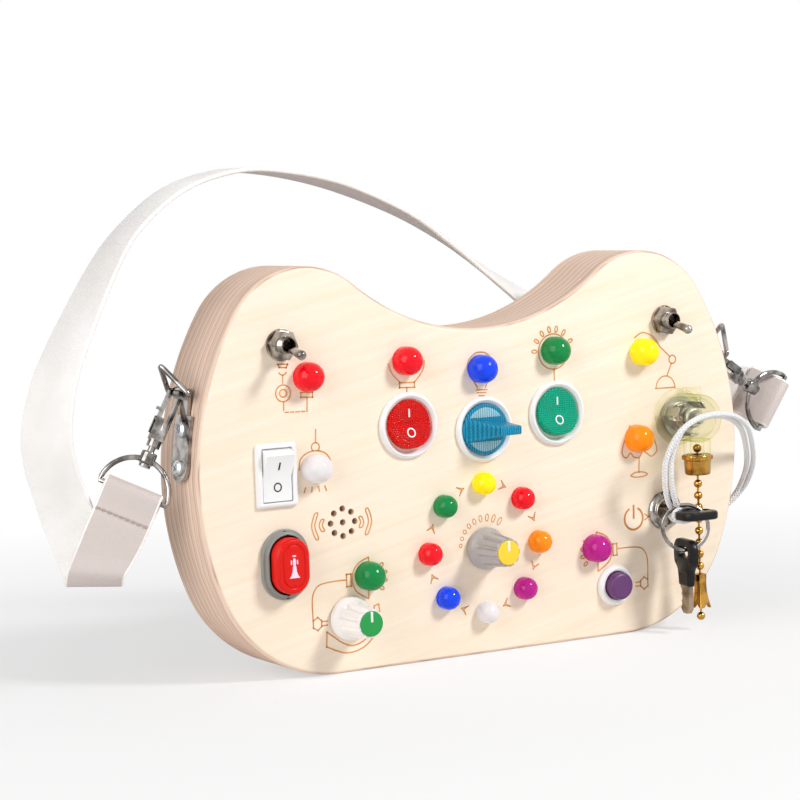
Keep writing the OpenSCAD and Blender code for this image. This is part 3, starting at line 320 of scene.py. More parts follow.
@dataclass(frozen=True)
class BirchPlywood(Look):
    """Sanded birch plywood: pale veneer on its faces, dark glue lines on its edge.

    Attributes:
        name: Name of the material.
        plies: Number of layers through the board's thickness.
    """

    name: str = "birch_plywood"
    plies: int = 9

    def surface(self, shading: Shading) -> Socket:
        """Veneer where the surface faces along Y, plies elsewhere."""
        coords = shading.add("TexCoord", output="Object")
        # Long faint growth lines that rise a little to the right, about 3 mm apart
        grain = shading.add(
            "VectorRotate", {"Vector": coords, "Angle": 0.22}, rotation_type="Y_AXIS"
        )
        growth = shading.add("Mapping", {"Vector": grain, "Scale": (9.0, 60.0, 300.0)})
        drift = shading.noise(growth, 1.0, 4.0, 0.6)
        fibres = shading.add("Mapping", {"Vector": grain, "Scale": (90.0, 900.0, 2600.0)})
        fibre = shading.noise(fibres, 1.0, 3.0)
        both = shading.add("Mix", {0: 0.3, 2: drift, 3: fibre}, data_type="FLOAT")
        face = shading.ramp(
            both, [(0.25, Hue.BIRCH_DARK), (0.52, Hue.BIRCH), (0.8, Hue.BIRCH_PALE)]
        )
        # Plies: a saw wave of Y with a thin dark line at each step
        wobble = shading.noise(coords, 60.0, 2.0)
        plies_per_metre = self.plies * 1000 / (BACK_Y - FACE_Y)
        level = shading.math("MULTIPLY_ADD", shading.axes(coords)["Y"], plies_per_metre, wobble)
        edge = shading.ramp(
            shading.math("FRACT", level),
            [(0.0, Hue.PLY_DARK), (0.14, Hue.PLY_PALE), (0.5, Hue.PLY_MIDDLE),
             (0.55, Hue.PLY_SHADE), (0.93, Hue.PLY_PALE), (1.0, Hue.PLY_DARK)],
        )
        normal = shading.add("NewGeometry", output="Normal")
        facing = shading.math("ABSOLUTE", shading.axes(normal)["Y"])
        colour = shading.mixed(shading.spread(facing, 0.75, 0.95), edge, face)
        return shading.add("BsdfPrincipled", {
            "Base Color": colour, "Roughness": 0.55, "IOR": 1.48,
            "Normal": shading.bump(0.35, 0.06, fibre),
        })


@dataclass(frozen=True)
class GridCap(Look):
    """Translucent moulded switch cap with a fine square grid in its skin.

    Attributes:
        name: Name of the material.
        hue: Colour of the plastic.
        pitch_mm: Distance between the grid's lines.
        ribs: True for lines in one direction only.
    """

    name: str
    hue: Hue
    pitch_mm: float = 0.75
    ribs: bool = False

    def surface(self, shading: Shading) -> Socket:
        """Glossy plastic with a painted glow, and painted shade in the low parts of its grid."""
        coords = shading.axes(shading.add("TexCoord", output="Object"))
        turns = 2 * math.pi * 1000 / self.pitch_mm
        across, up = (
            shading.math("SINE", shading.math("MULTIPLY", coords[axis], turns)) for axis in "XZ"
        )
        height = across if self.ribs else shading.math("MAXIMUM", across, up)
        # Painted shade: the low parts of the grid are darkened
        painted_groove_shade = shading.spread(height, -1.0, 1.0, 0.5)
        shade = shading.mixed(1.0, self.hue.rgba, painted_groove_shade, "MULTIPLY")
        # Painted glow: the cap's own colour is given a little emission
        return shading.add("BsdfPrincipled", {
            "Base Color": shade, "Roughness": 0.12, "IOR": 1.25, "Emission Color": shade,
            "Emission Strength": 0.12, "Normal": shading.bump(0.8, 0.2, height),
        })


@dataclass(frozen=True)
class ClearMoulding(Look):
    """Clear moulded plastic that looks olive where it is thick or edge-on."""

    name: str = "clear_moulding"

    def surface(self, shading: Shading) -> Socket:
        """Tinted glass, with a little plain transparency to keep its inside bright."""
        facing = shading.add("LayerWeight", {"Blend": 0.35}, "Facing")
        colour = shading.ramp(
            facing, [(0.45, Hue.CLEAR_THIN), (0.85, Hue.CLEAR_THICK), (1.0, Hue.OLIVE)]
        )
        glass = shading.add("BsdfPrincipled", {
            "Base Color": colour, "Roughness": 0.04, "IOR": 1.3, "Transmission Weight": 1.0,
        })
        through = shading.add("BsdfTransparent", {"Color": colour})
        return shading.add("MixShader", {0: 0.92, 1: glass, 2: through})


@dataclass(frozen=True)
class GrainedLeather(Look):
    """Leather-like strap: a fine pebbled grain, cream in front, with painted shade in greyish cream
    at the back.
    """

    name: str = "cream_grained_leather"

    def surface(self, shading: Shading) -> Socket:
        """Pebbles in the bump, cream in front, and painted shade in a greyish colour on the band's
        back.
        """
        coords = shading.add("TexCoord", output="Object")
        # Pebbles are 0.9 mm across, a little coarser than life so that they show
        pebble = shading.add(
            "TexVoronoi", {"Vector": coords, "Scale": 1100.0}, "Distance",
            feature="DISTANCE_TO_EDGE",
        )
        cloud = shading.noise(coords, 45.0, 2.0)
        front = shading.ramp(cloud, [(0.3, Hue.CREAM_DARK), (0.6, Hue.CREAM)])
        # v runs once round the section, so its last part is the band's back, where shade is painted
        round_it = shading.axes(shading.add("TexCoord", output="UV"))["Y"]
        back = shading.math("GREATER_THAN", round_it, 0.9)
        return shading.add("BsdfPrincipled", {
            "Base Color": shading.mixed(back, front, Hue.CREAM_BACK.rgba), "Roughness": 0.5,
            "IOR": 1.5, "Sheen Weight": 0.12, "Normal": shading.bump(0.7, 0.14, pebble),
        })


@dataclass(frozen=True)
class BraidedCord(Look):
    """Braided polyester cord: slanting strands drawn on the cord's own UV map."""

    name: str = "white_braided_cord"

    def surface(self, shading: Shading) -> Socket:
        """Two sets of slanting strands, with painted shade where they dip."""
        uv = shading.axes(shading.add("TexCoord", output="UV"))
        # u counts millimetres along the cord, v runs once round it
        along = shading.math("MULTIPLY", uv["X"], 0.8)
        strands = []
        for lean in (4.0, -4.0):
            slant = shading.math("MULTIPLY_ADD", uv["Y"], lean, along)
            strands.append(shading.math("SINE", shading.math("MULTIPLY", slant, 2 * math.pi)))
        weave = shading.math("MAXIMUM", *strands)
        # Painted shade: the strands turn darker towards their dips
        lift = shading.spread(weave, -0.6, 1.0)
        return shading.add("BsdfPrincipled", {
            "Base Color": shading.ramp(lift, [(0.0, Hue.CORD_SHADE), (0.6, Hue.CORD)]),
            "Roughness": 0.8, "Sheen Weight": 0.3, "Normal": shading.bump(0.7, 0.22, weave),
        })


@dataclass(frozen=True)
class FadingPaper(Look):
    """White paper that the camera sees fade to white away from the object."""

    name: str = "white_paper"

    def surface(self, shading: Shading) -> Socket:
        """Dull white near the object, plain white for the camera further out."""
        coords = shading.add("TexCoord", output="Object")
        reach = shading.add("VectorMath", {0: coords}, "Value", operation="LENGTH")
        glow = shading.spread(reach, 0.14, 0.42, 0.55)
        seen = shading.add("LightPath", output="Is Camera Ray")
        dull = shading.add("BsdfPrincipled", {"Base Color": Hue.WHITE.rgba, "Roughness": 0.9})
        white = shading.add("Emission", {"Color": FULL_WHITE})
        return shading.add(
            "MixShader", {0: shading.math("MULTIPLY", glow, seen), 1: dull, 2: white}
        )


PLYWOOD = BirchPlywood()
BURNT_LINE = Finish("burnt_line", Hue.BURNT, Hue.BURNT_DARK, roughness=0.7, grain_mm=0.4)
WHITE_ABS = Finish("white_abs", Hue.WHITE, roughness=0.38, subsurface=0.05, bump=0.01)
WHITE_INK = Finish("white_ink", Hue.WHITE, roughness=0.45)
BLACK_INK = Finish("black_ink", Hue.INK, roughness=0.5)
GREY_ABS = Finish("grey_abs", Hue.GREY, roughness=0.42, bump=0.015)
HORN_ABS = Finish("red_abs", Hue.HORN_RED, roughness=0.3, ior=1.3, bump=0.01)
LILAC_INK = Finish("lilac_ink", Hue.LILAC, roughness=0.4)
PURPLE_ABS = Finish("purple_abs", Hue.PURPLE, roughness=0.42, bump=0.02)
IVORY_ABS = Finish("ivory_abs", Hue.IVORY, roughness=0.4, subsurface=0.05, bump=0.01)
SILVER_ABS = Finish("silver_abs", Hue.SILVER, roughness=0.35, bump=0.01)
DIAL_GREEN = Finish("green_dial_abs", Hue.DIAL_GREEN, roughness=0.4)
DIAL_YELLOW = Finish("yellow_dial_abs", Hue.DIAL_YELLOW, roughness=0.4)
KEY_BLACK = Finish("black_key_abs", Hue.BLACK, roughness=0.3, ior=1.3, bump=0.012,
                   grain_mm=0.5)
# The metals' second hues are painted dark reflections
CHROME = Finish("polished_chrome", Hue.STEEL, Hue.STEEL_DARK, roughness=0.07, metallic=1.0,
                grain_mm=6)
NICKEL = Finish("nickel_plate", Hue.NICKEL, Hue.NICKEL_DARK, roughness=0.14, metallic=1.0,
                grain_mm=5)
SCREW_STEEL = Finish("screw_steel", Hue.STEEL, roughness=0.3, metallic=1.0)
KEY_METAL = Finish("key_nickel_silver", Hue.KEY_METAL, Hue.KEY_DARK, roughness=0.2,
                   metallic=1.0, grain_mm=3)
BRASS = Finish("polished_brass", Hue.BRASS, Hue.BRASS_DARK, roughness=0.13, metallic=1.0,
               grain_mm=4)
DULL_METAL = Finish("zinc_plate", Hue.STEEL, roughness=0.35, metallic=1.0)
TRAY_BLACK = Finish("black_tray_abs", Hue.BLACK, roughness=0.5, bump=0.02)
SLEEVE = Finish("cell_sleeve", Hue.SLEEVE, roughness=0.35)
PCB = Finish("green_solder_mask", Hue.BOARD_GREEN, roughness=0.4)
THREAD = Finish("sewing_thread", Hue.THREAD, roughness=0.8)
LEATHER = GrainedLeather()
CORD_WEAVE = BraidedCord()
CLEAR = ClearMoulding()


class Lamp(Enum):
    """Lamp colours by their CAD node, with the hue of each dome."""

    RED = ("led_red", Hue.LAMP_RED)
    BLUE = ("led_blue", Hue.LAMP_BLUE)
    GREEN = ("led_green", Hue.LAMP_GREEN)
    YELLOW = ("led_yellow", Hue.LAMP_YELLOW)
    ORANGE = ("led_orange", Hue.LAMP_ORANGE)
    MAGENTA = ("led_magenta", Hue.LAMP_MAGENTA)
    WHITE = ("led_white", Hue.LAMP_WHITE)


# ------------------------------------------------------------------ mesh tools


def rotation(degrees: float, axis: str) -> Matrix:
    """Matrix that turns about one axis."""
    return Matrix.Rotation(math.radians(degrees), 4, axis)


def face_place(x: float, z: float, out: float = 0.0) -> Matrix:
    """Matrix that stands a control's own frame on the face at x, z."""
    return Matrix.Translation((x, FACE_Y - out, z)) @ rotation(90, "X")


def merge(target: BMesh, source: BMesh, place: Matrix | None = None) -> BMesh:
    """Adds one mesh to another and frees it.

    Args:
        target: Mesh that grows.
        source: Mesh that is added.
        place: Where the source goes.

    Returns:
        The target.
    """
    if place is not None:
        source.transform(place)
    held = bpy.data.meshes.new("held")
    source.to_mesh(held)
    source.free()
    target.from_mesh(held)
    bpy.data.meshes.remove(held)
    return target


def fillet(profile: Profile, radius: float, steps: int = 4) -> Profile:
    """Rounds the inner corners of a profile.

    Args:
        profile: Corner points.
        radius: Radius of each round, less where a side is short.
        steps: Spans of each round.

    Returns:
        The profile with arcs for corners.
    """
    points = [Vector(p) for p in profile]
    made = [points[0]]
    for before, corner, after in zip(points, points[1:], points[2:]):
        a, b = before - corner, after - corner
        reach = min(radius, 0.45 * a.length, 0.45 * b.length)
        start, end = corner + reach * a.normalized(), corner + reach * b.normalized()
        for i in range(steps + 1):
            t = i / steps
            made.append((1 - t) ** 2 * start + 2 * t * (1 - t) * corner + t * t * end)
    made.append(points[-1])
    return [(p.x, p.y) for p in made]


def turned(profile: Profile, steps: int = 64) -> BMesh:
    """Turns a profile of radius and height about z.

    Args:
        profile: Points of radius and height; one at radius 0 closes the piece.
        steps: Sides of the turned piece.

    Returns:
        The turned mesh.
    """
    bm = bmesh.new()
    verts = [bm.verts.new((r, 0, z)) for r, z in profile]
    edges = [bm.edges.new(pair) for pair in zip(verts, verts[1:])]
    bmesh.ops.spin(
        bm,
        geom=verts + edges,
        cent=(0, 0, 0),
        axis=(0, 0, 1),
        angle=2 * math.pi,
        steps=steps,
        use_merge=True,
    )
    bmesh.ops.remove_doubles(bm, verts=bm.verts, dist=1e-4)
    bmesh.ops.recalc_face_normals(bm, faces=bm.faces)
    return bm


def round_edges(bm: BMesh, edges: Sequence[Edge], radius: float, segments: int = 3) -> None:
    """Rounds edges of a mesh."""
    bmesh.ops.bevel(
        bm, geom=edges, offset=radius, segments=segments, profile=0.5, affect="EDGES", material=-1
    )


def block(size: Point, centre: Point = (0, 0, 0), bevel: float = 0.0, segments: int = 3) -> BMesh:
    """Box with rounded edges.

    Args:
        size: Lengths along x, y and z.
        centre: Middle of the box.
        bevel: Radius of its edges.
        segments: Spans of each rounded edge.

    Returns:
        The box.
    """
    bm = bmesh.new()
    bmesh.ops.create_cube(bm, size=1)
    bmesh.ops.scale(bm, vec=size, verts=bm.verts)
    if bevel:
        round_edges(bm, bm.edges[:], bevel, segments)
    bmesh.ops.translate(bm, vec=centre, verts=bm.verts)
    return bm


def plate(outline: Profile, low: float, high: float, bevel: float) -> BMesh:
    """Plate of an outline in x and y, with its upper edge rounded.

    Args:
        outline: Points round the plate, anticlockwise.
        low: Height of its underside.
        high: Height of its top.
        bevel: Radius of the upper edge.

    Returns:
        The plate.
    """
    bm = bmesh.new()
    base = bm.faces.new([bm.verts.new((x, y, low)) for x, y in outline])
    top = bmesh.ops.extrude_face_region(bm, geom=[base])
    verts = [v for v in top["geom"] if isinstance(v, bmesh.types.BMVert)]
    bmesh.ops.translate(bm, vec=(0, 0, high - low), verts=verts)
    bmesh.ops.recalc_face_normals(bm, faces=bm.faces)
    if bevel:
        rim = [e for e in bm.edges if all(abs(v.co.z - high) < 1e-5 for v in e.verts)]
        round_edges(bm, rim, bevel, 4)
    return bm


def edge_loop(bm: BMesh, points: Iterable[Point]) -> list[Edge]:
    """Adds one closed loop of edges through points."""
    verts = [bm.verts.new(p) for p in points]
    return [bm.edges.new(pair) for pair in zip(verts, [*verts[1:], verts[0]])]


def bridge(bm: BMesh, loops: Sequence[list[Edge]], capped: bool = True) -> None:
    """Joins each loop to the next by faces, and closes both ends if capped."""
    for a, b in zip(loops, loops[1:]):
        bmesh.ops.bridge_loops(bm, edges=a + b)
    if capped:
        for end in (loops[0], loops[-1]):
            bmesh.ops.contextual_create(bm, geom=end)


def arc(r: float, start: float, end: float, n: int, x: float = 0.0, y: float = 0.0) -> Profile:
    """Points of an arc in n steps.

    Args:
        r: Radius.
        start: First angle in radians, from x to y.
        end: Last angle.
        n: Number of steps.
        x: Middle of the arc along x.
        y: Middle of the arc along y.

    Returns:
        The arc's n + 1 points.
    """
    turns = (start + (end - start) * k / n for k in range(n + 1))
    return [(x + r * math.cos(a), y + r * math.sin(a)) for a in turns]


def circle(r: float, n: int = 12, x: float = 0.0, y: float = 0.0) -> Profile:
    """Points once round a circle about x, y."""
    return arc(r, 0, 2 * math.pi, n, x, y)[:-1]


def stadium(length: float, width: float, steps: int = 16) -> Profile:
    """Outline with two straight sides along y and round ends."""
    top = arc(width / 2, 0, math.pi, steps, 0, (length - width) / 2)
    return top + [(-x, -y) for x, y in top]


def rounded_box(half_x: float, half_y: float, r: float) -> Profile:
    """Outline of a rectangle with round corners about the middle."""
    points = []
    for k, (sx, sy) in enumerate(((1, 1), (-1, 1), (-1, -1), (1, -1))):
        start = math.pi / 2 * k
        points += arc(r, start, start + math.pi / 2, 5, sx * (half_x - r), sy * (half_y - r))
    return points


def sleeve(rings: Iterable[tuple[Profile, float]]) -> BMesh:
    """Closed shell through outlines at their heights, with a face at both ends."""
    bm = bmesh.new()
    bridge(bm, [edge_loop(bm, [(x, y, z) for x, y in outline]) for outline, z in rings])
    bmesh.ops.recalc_face_normals(bm, faces=bm.faces)
    return bm


def smooth_line(points: Sequence[Point], spans: int) -> list[Vector]:
    """Points of an even curve through given points.

    Args:
        points: Points that the curve passes.
        spans: Steps between two of them.

    Returns:
        Points along the curve.
    """
    p = [Vector(q) for q in points]
    made = []
    for k in range(len(p) - 1):
        a, b, c, d = p[max(k - 1, 0)], p[k], p[k + 1], p[min(k + 2, len(p) - 1)]
        for i in range(spans):
            t = i / spans
            made.append(
                0.5
                * (
                    2 * b
                    + (c - a) * t
                    + (2 * a - 5 * b + 4 * c - d) * t * t
                    + (3 * b - a - 3 * c + d) * t * t * t
                )
            )
    made.append(p[-1])
    return made


def direction(path: Sequence[Vector], i: int) -> Vector:
    """Direction of a path at its point i."""
    return (path[min(i + 1, len(path) - 1)] - path[max(i - 1, 0)]).normalized()


def swept(
    path: Sequence[Vector],
    section: Profile,
    sides: Sequence[Vector] | None = None,
    closed: bool = False,
    square: bool = True,
) -> BMesh:
    """Sweeps a closed section along a path, with a UV map in millimetres along it.

    Args:
        path: Points of the path.
        section: Points of the section, across and up.
        sides: Direction across the section at each point; carried along if None.
        closed: True if the path ends where it starts.
        square: False keeps the sides as given, for a band that folds about a slanted line.

    Returns:
        The swept mesh.
    """
    bm = bmesh.new()
    uv = bm.loops.layers.uv.new("UVMap")
    rings, lengths, run = [], [], 0.0
    count = len(path)
    across = None
    for i, p in enumerate(path):
        if closed:
            t = (path[(i + 1) % count] - path[i - 1]).normalized()
        else:
            t = direction(path, i)
        want = sides[i] if sides is not None else across
        if want is None:
            want = Vector((0.31, 0.17, 0.93)).cross(t)
        across = (want - want.dot(t) * t).normalized() if square else want.normalized()
        up = t.cross(across).normalized()
        rings.append([bm.verts.new(p + x * across + y * up) for x, y in section])
        run += (p - path[i - 1]).length if i else 0.0
        lengths.append(run)
    n = len(section)
    pairs = [(i, i + 1) for i in range(count - 1)] + ([(count - 1, 0)] if closed else [])
    for a, b in pairs:
        for k in range(n):
            m = (k + 1) % n
            made = bm.faces.new((rings[a][k], rings[a][m], rings[b][m], rings[b][k]))
            far = lengths[b] if b else run
            for loop, (u, v) in zip(
                made.loops,
                ((lengths[a], k / n), (lengths[a], (k + 1) / n), (far, (k + 1) / n), (far, k / n)),
            ):
                loop[uv].uv = (u, v)
    if not closed:
        bm.faces.new(list(reversed(rings[0])))
        bm.faces.new(rings[-1])
    bmesh.ops.recalc_face_normals(bm, faces=bm.faces)
    return bm


def band_section(w: float, t: float, steps: int = 3) -> Profile:
    """Flat section with round edges, w across and t thick."""
    right = arc(t / 2, -math.pi / 2, math.pi / 2, 2 * steps, (w - t) / 2)
    return right + [(-x, -y) for x, y in right]


def add_object(name: str, data: bpy.types.ID, place: Matrix | None = None) -> bpy.types.Object:
    """Adds an object with this data to the scene, at the origin if no place is given."""
    made = bpy.data.objects.new(name, data)
    if place is not None:
        made.matrix_world = place
    bpy.context.scene.collection.objects.link(made)
    return made


def finish_piece(
    name: str,
    bm: BMesh,
    body: str | None,
    look: Look,
    stands_for: Sequence[str] = (),
    crease: float = 35.0,
) -> bpy.types.Object:
    """Turns a mesh in millimetres to a finished piece of the object.

    Args:
        name: Name of the piece.
        bm: Its mesh, which is freed.
        body: CAD body that it rides on; None for a piece that is left unattached.
        look: Its material.
        stands_for: CAD nodes that it replaces.
        crease: Edges bent more than this many degrees stay sharp.

    Returns:
        The object, at the origin with its place in its mesh.
    """
    bmesh.ops.scale(bm, vec=(MM, MM, MM), verts=bm.verts)
    mesh = bpy.data.meshes.new(name)
    bm.to_mesh(mesh)
    bm.free()
    mesh.shade_smooth()
    mesh.set_sharp_from_angle(angle=math.radians(crease))
    mesh.materials.append(look.build())
    made = add_object(name, mesh)
    if stands_for:
        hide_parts(*stands_for)
    if body:
        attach(made, body)
    log.info("%s: %d faces on %s", name, len(mesh.polygons), body)
    return made


# ------------------------------------------------------------------ studio


@dataclass(frozen=True)
class PhotoCamera:
    """Camera at the photograph's place, fitted to the outline and the controls.

    Attributes:
        lens: Focal length for a 36 mm wide sensor.
        place: Where the camera stands.
        yaw: Turn to the right, in degrees.
        pitch: Tilt down, in degrees.
        roll: Turn about the line of sight, in degrees.
    """

    lens: float = 112.278
    place: Point = (-462.6, -751.2, 159.4)
    yaw: float = 30.244
    pitch: float = 4.543
    roll: float = -1.887

    def build(self) -> None:
        """Adds the camera and makes it the scene's."""
        yaw, pitch, roll = (math.radians(a) for a in (self.yaw, self.pitch, self.roll))
        ahead = Vector(
            (math.sin(yaw) * math.cos(pitch), math.cos(yaw) * math.cos(pitch), -math.sin(pitch))
        )
        level = Vector((math.cos(yaw), -math.sin(yaw), 0))
        upright = level.cross(ahead)
        right = math.cos(roll) * level + math.sin(roll) * upright
        up = math.cos(roll) * upright - math.sin(roll) * level
        data = bpy.data.cameras.new("photo_camera")
        data.lens = self.lens
        data.sensor_width = 36
        data.clip_start = 0.05
        turn = Matrix((right, up, -ahead)).transposed().to_4x4()
        place = Matrix.Translation(Vector(self.place) / 1000) @ turn
        bpy.context.scene.camera = add_object("photo_camera", data, place)


@dataclass(frozen=True)
class Studio:
    """Pale floor, a large soft light from the left, a smaller key from the right.

    Attributes:
        key: Power of the key light in watts.
        fill: Power of the fill light in watts.
        sky: Strength of the world's light on the object.
    """

    key: float = 12.2
    fill: float = 20.0
    sky: float = 0.24

    def light(self, name: str, place: Point, size: float, power: float) -> None:
        """Adds one square light that faces the middle of the board."""
        data = bpy.data.lights.new(name, "AREA")
        data.shape = "SQUARE"
        data.size = size
        data.energy = power
        aim = BOARD_MIDDLE - Vector(place)
        turn = aim.to_track_quat("-Z", "Y").to_matrix().to_4x4()
        add_object(name, data, Matrix.Translation(place) @ turn)

    def build(self) -> None:
        """Adds the floor, the lights and the world."""
        bm = bmesh.new()
        bmesh.ops.create_grid(bm, x_segments=1, y_segments=1, size=4)
        mesh = bpy.data.meshes.new("floor")
        bm.to_mesh(mesh)
        bm.free()
        mesh.materials.append(FadingPaper().build())
        add_object("floor", mesh)
        self.light("key_light", (0.56, -0.86, 0.84), 0.27, self.key)
        self.light("fill_light", (-1.6, -0.5, 0.7), 1.5, self.fill)
        world = bpy.data.worlds.new("studio")
        bpy.context.scene.world = world
        shading = Shading(world)
        rays = shading.add("LightPath").node.outputs
        seen = rays["Is Camera Ray"]
        for other in ("Is Glossy Ray", "Is Transmission Ray"):
            seen = shading.math("MAXIMUM", seen, rays[other])
        lit = shading.add("Background", {"Color": FULL_WHITE, "Strength": self.sky})
        white = shading.add("Background", {"Color": FULL_WHITE})
        shading.close(shading.add("MixShader", {0: seen, 1: lit, 2: white}))
        bpy.context.scene.view_settings.view_transform = "Standard"


# ------------------------------------------------------------------ soft parts


@dataclass(frozen=True)
class KeyCord:
    """Double braided cord from the hole in the board's side to the key's neck.

    Attributes:
        way: Points of the cord's middle line, from the key to the hole.
        diameter: Diameter of one strand.
        step: Distance of each strand from the middle line.
    """

    way: tuple[Point, ...] = (
        (73.4, -27, 45.2), (69.5, -29.5, 50), (66.3, -32.5, 57.5), (65.5, -35, 66),
        (69, -38, 75), (77, -38.5, 79), (89, -37.2, 79), (102, -30.5, 74), (113, -20, 65),
        (120, -11, 56), (122, -3, 47), (117, 1, 40), (111, 2, 38), (105, 2, 38),
    )
    diameter: float = 2.0
    step: float = 1.25

    def build(self) -> None:
        """Adds both strands and the knot at the key."""
        middle = smooth_line(self.way, 6)
        for s, name in ((-1, "key_cord_a"), (1, "key_cord_b")):
            path = []
            for i, p in enumerate(middle):
                side = direction(middle, i).cross(Vector((0, 0.35, 1))).normalized()
                path.append(p + s * self.step * side)
            path.reverse()
            bm = swept(path, circle(self.diameter / 2, 16))
            strand = finish_piece(
                name, bm, "board", CORD_WEAVE, ["key_cord"], crease=60
            )
        self.knot()

    def knot(self) -> None:
        """Adds the knot: two turns round the neck of the key's head."""
        bm = bmesh.new()
        for y in (-26.0, -28.2):
            loop = [Vector((77 + 5.2 * across, y - 0.5 * up, 43.6 + 2.8 * up))
                    for across, up in circle(1, 40)]
            merge(bm, swept(loop, circle(self.diameter / 2), closed=True))
        finish_piece("key_cord_knot", bm, "key", CORD_WEAVE, crease=60)


def of_side(pair: tuple[float, float], s: int) -> float:
    """The left or right one of two values."""
    return pair[0 if s < 0 else 1]


@dataclass(frozen=True)
class Hardware:
    """Places and sizes of the metal fittings at both sides.

    Attributes:
        eye: Middle of the right plate's eye; the left one is its mirror image.
        hook_y: Distance of the hook from the eye's middle along Y.
        lean: Lean of the left and right hook from the vertical, outwards.
        turn: Turn of the left and right D-ring about its hook.
        ring_lean: Lean of the left and right wire ring.
        wire: Radius of the wire.
        reach: Distance from the eye to the D-ring's bar.
        half: Half width of the D-ring.
    """

    eye: Point = (110.737, -4.0, 98.424)
    hook_y: float = 4.1
    lean: tuple[float, float] = (28, 55)
    turn: tuple[float, float] = (-60, 90)
    ring_lean: tuple[float, float] = (34, 20)
    wire: float = 0.9
    reach: float = 36.0
    half: float = 11.9

    def hook_axis(self, s: int) -> Vector:
        """Direction from the eye to the strap."""
        a = math.radians(of_side(self.lean, s))
        return Vector((s * math.sin(a), 0, -math.cos(a)))

    def bar_dir(self, s: int) -> Vector:
        """Direction of the D-ring's bar."""
        a = math.radians(of_side(self.lean, s))
        t = math.radians(of_side(self.turn, s))
        return Vector((-s * math.sin(t) * math.cos(a), math.cos(t), -math.sin(t) * math.sin(a)))

    def bar_mid(self, s: int) -> Vector:
        """Middle of the D-ring's bar."""
        start = Vector((s * self.eye[0], self.eye[1] + self.hook_y, self.eye[2]))
        return start + self.reach * self.hook_axis(s)

    def frame(self, s: int, hook: bool) -> Matrix:
        """Matrix of the eye's frame or the hook's frame on one side."""
        made = Matrix.Diagonal((s, 1, 1, 1)) @ Matrix.Translation(self.eye)
        if hook:
            lean = rotation(-of_side(self.lean, s), "Y")
            made = made @ Matrix.Translation((0, self.hook_y, 0)) @ lean
        return made

    def build(self) -> None:
        """Adds the wire rings and the D-rings of both sides."""
        for s, word in SIDES:
            corners = [Vector(p) for p in ((0, -7, 0), (0, 9.4, 0), (0, 1, 12))]
            path = []
            for k, corner in enumerate(corners):
                a = (corners[k - 1] - corner).normalized()
                b = (corners[(k + 1) % 3] - corner).normalized()
                path += [corner + 1.5 * ((1 - t) ** 2 * a + t * t * b) for t in
                         (0, 0.25, 0.5, 0.75, 1)]
            bm = swept(path, circle(self.wire, 12), closed=True)
            bm.transform(self.frame(s, False) @ rotation(of_side(self.ring_lean, s), "Y"))
            finish_piece(f"wire_ring_{word}", bm, f"ring_{word}", CHROME,
                         [f"plate_ring_{word}"], crease=60)
            turn = rotation(of_side(self.turn, s), "Z")
            bow = [Vector((0, y, z)) for y, z in arc(self.half, 0, math.pi, 28, 0, -self.reach)]
            bm = swept([*bow, Vector((0, 0, -self.reach))], circle(self.wire, 14), closed=True)
            eye = [(1.25, -21.4), (2.5, -21.4), (2.7, -21.9), (2.7, -25.1), (2.4, -25.6),
                   (1.25, -25.6), (1.25, -21.4)]
            merge(bm, turned(fillet(eye, 0.4), 40))
            bm.transform(self.frame(s, True) @ turn)
            finish_piece(f"dee_{word}", bm, f"d_ring_{word}", CHROME,
                         [f"d_ring_{word}"], crease=50)


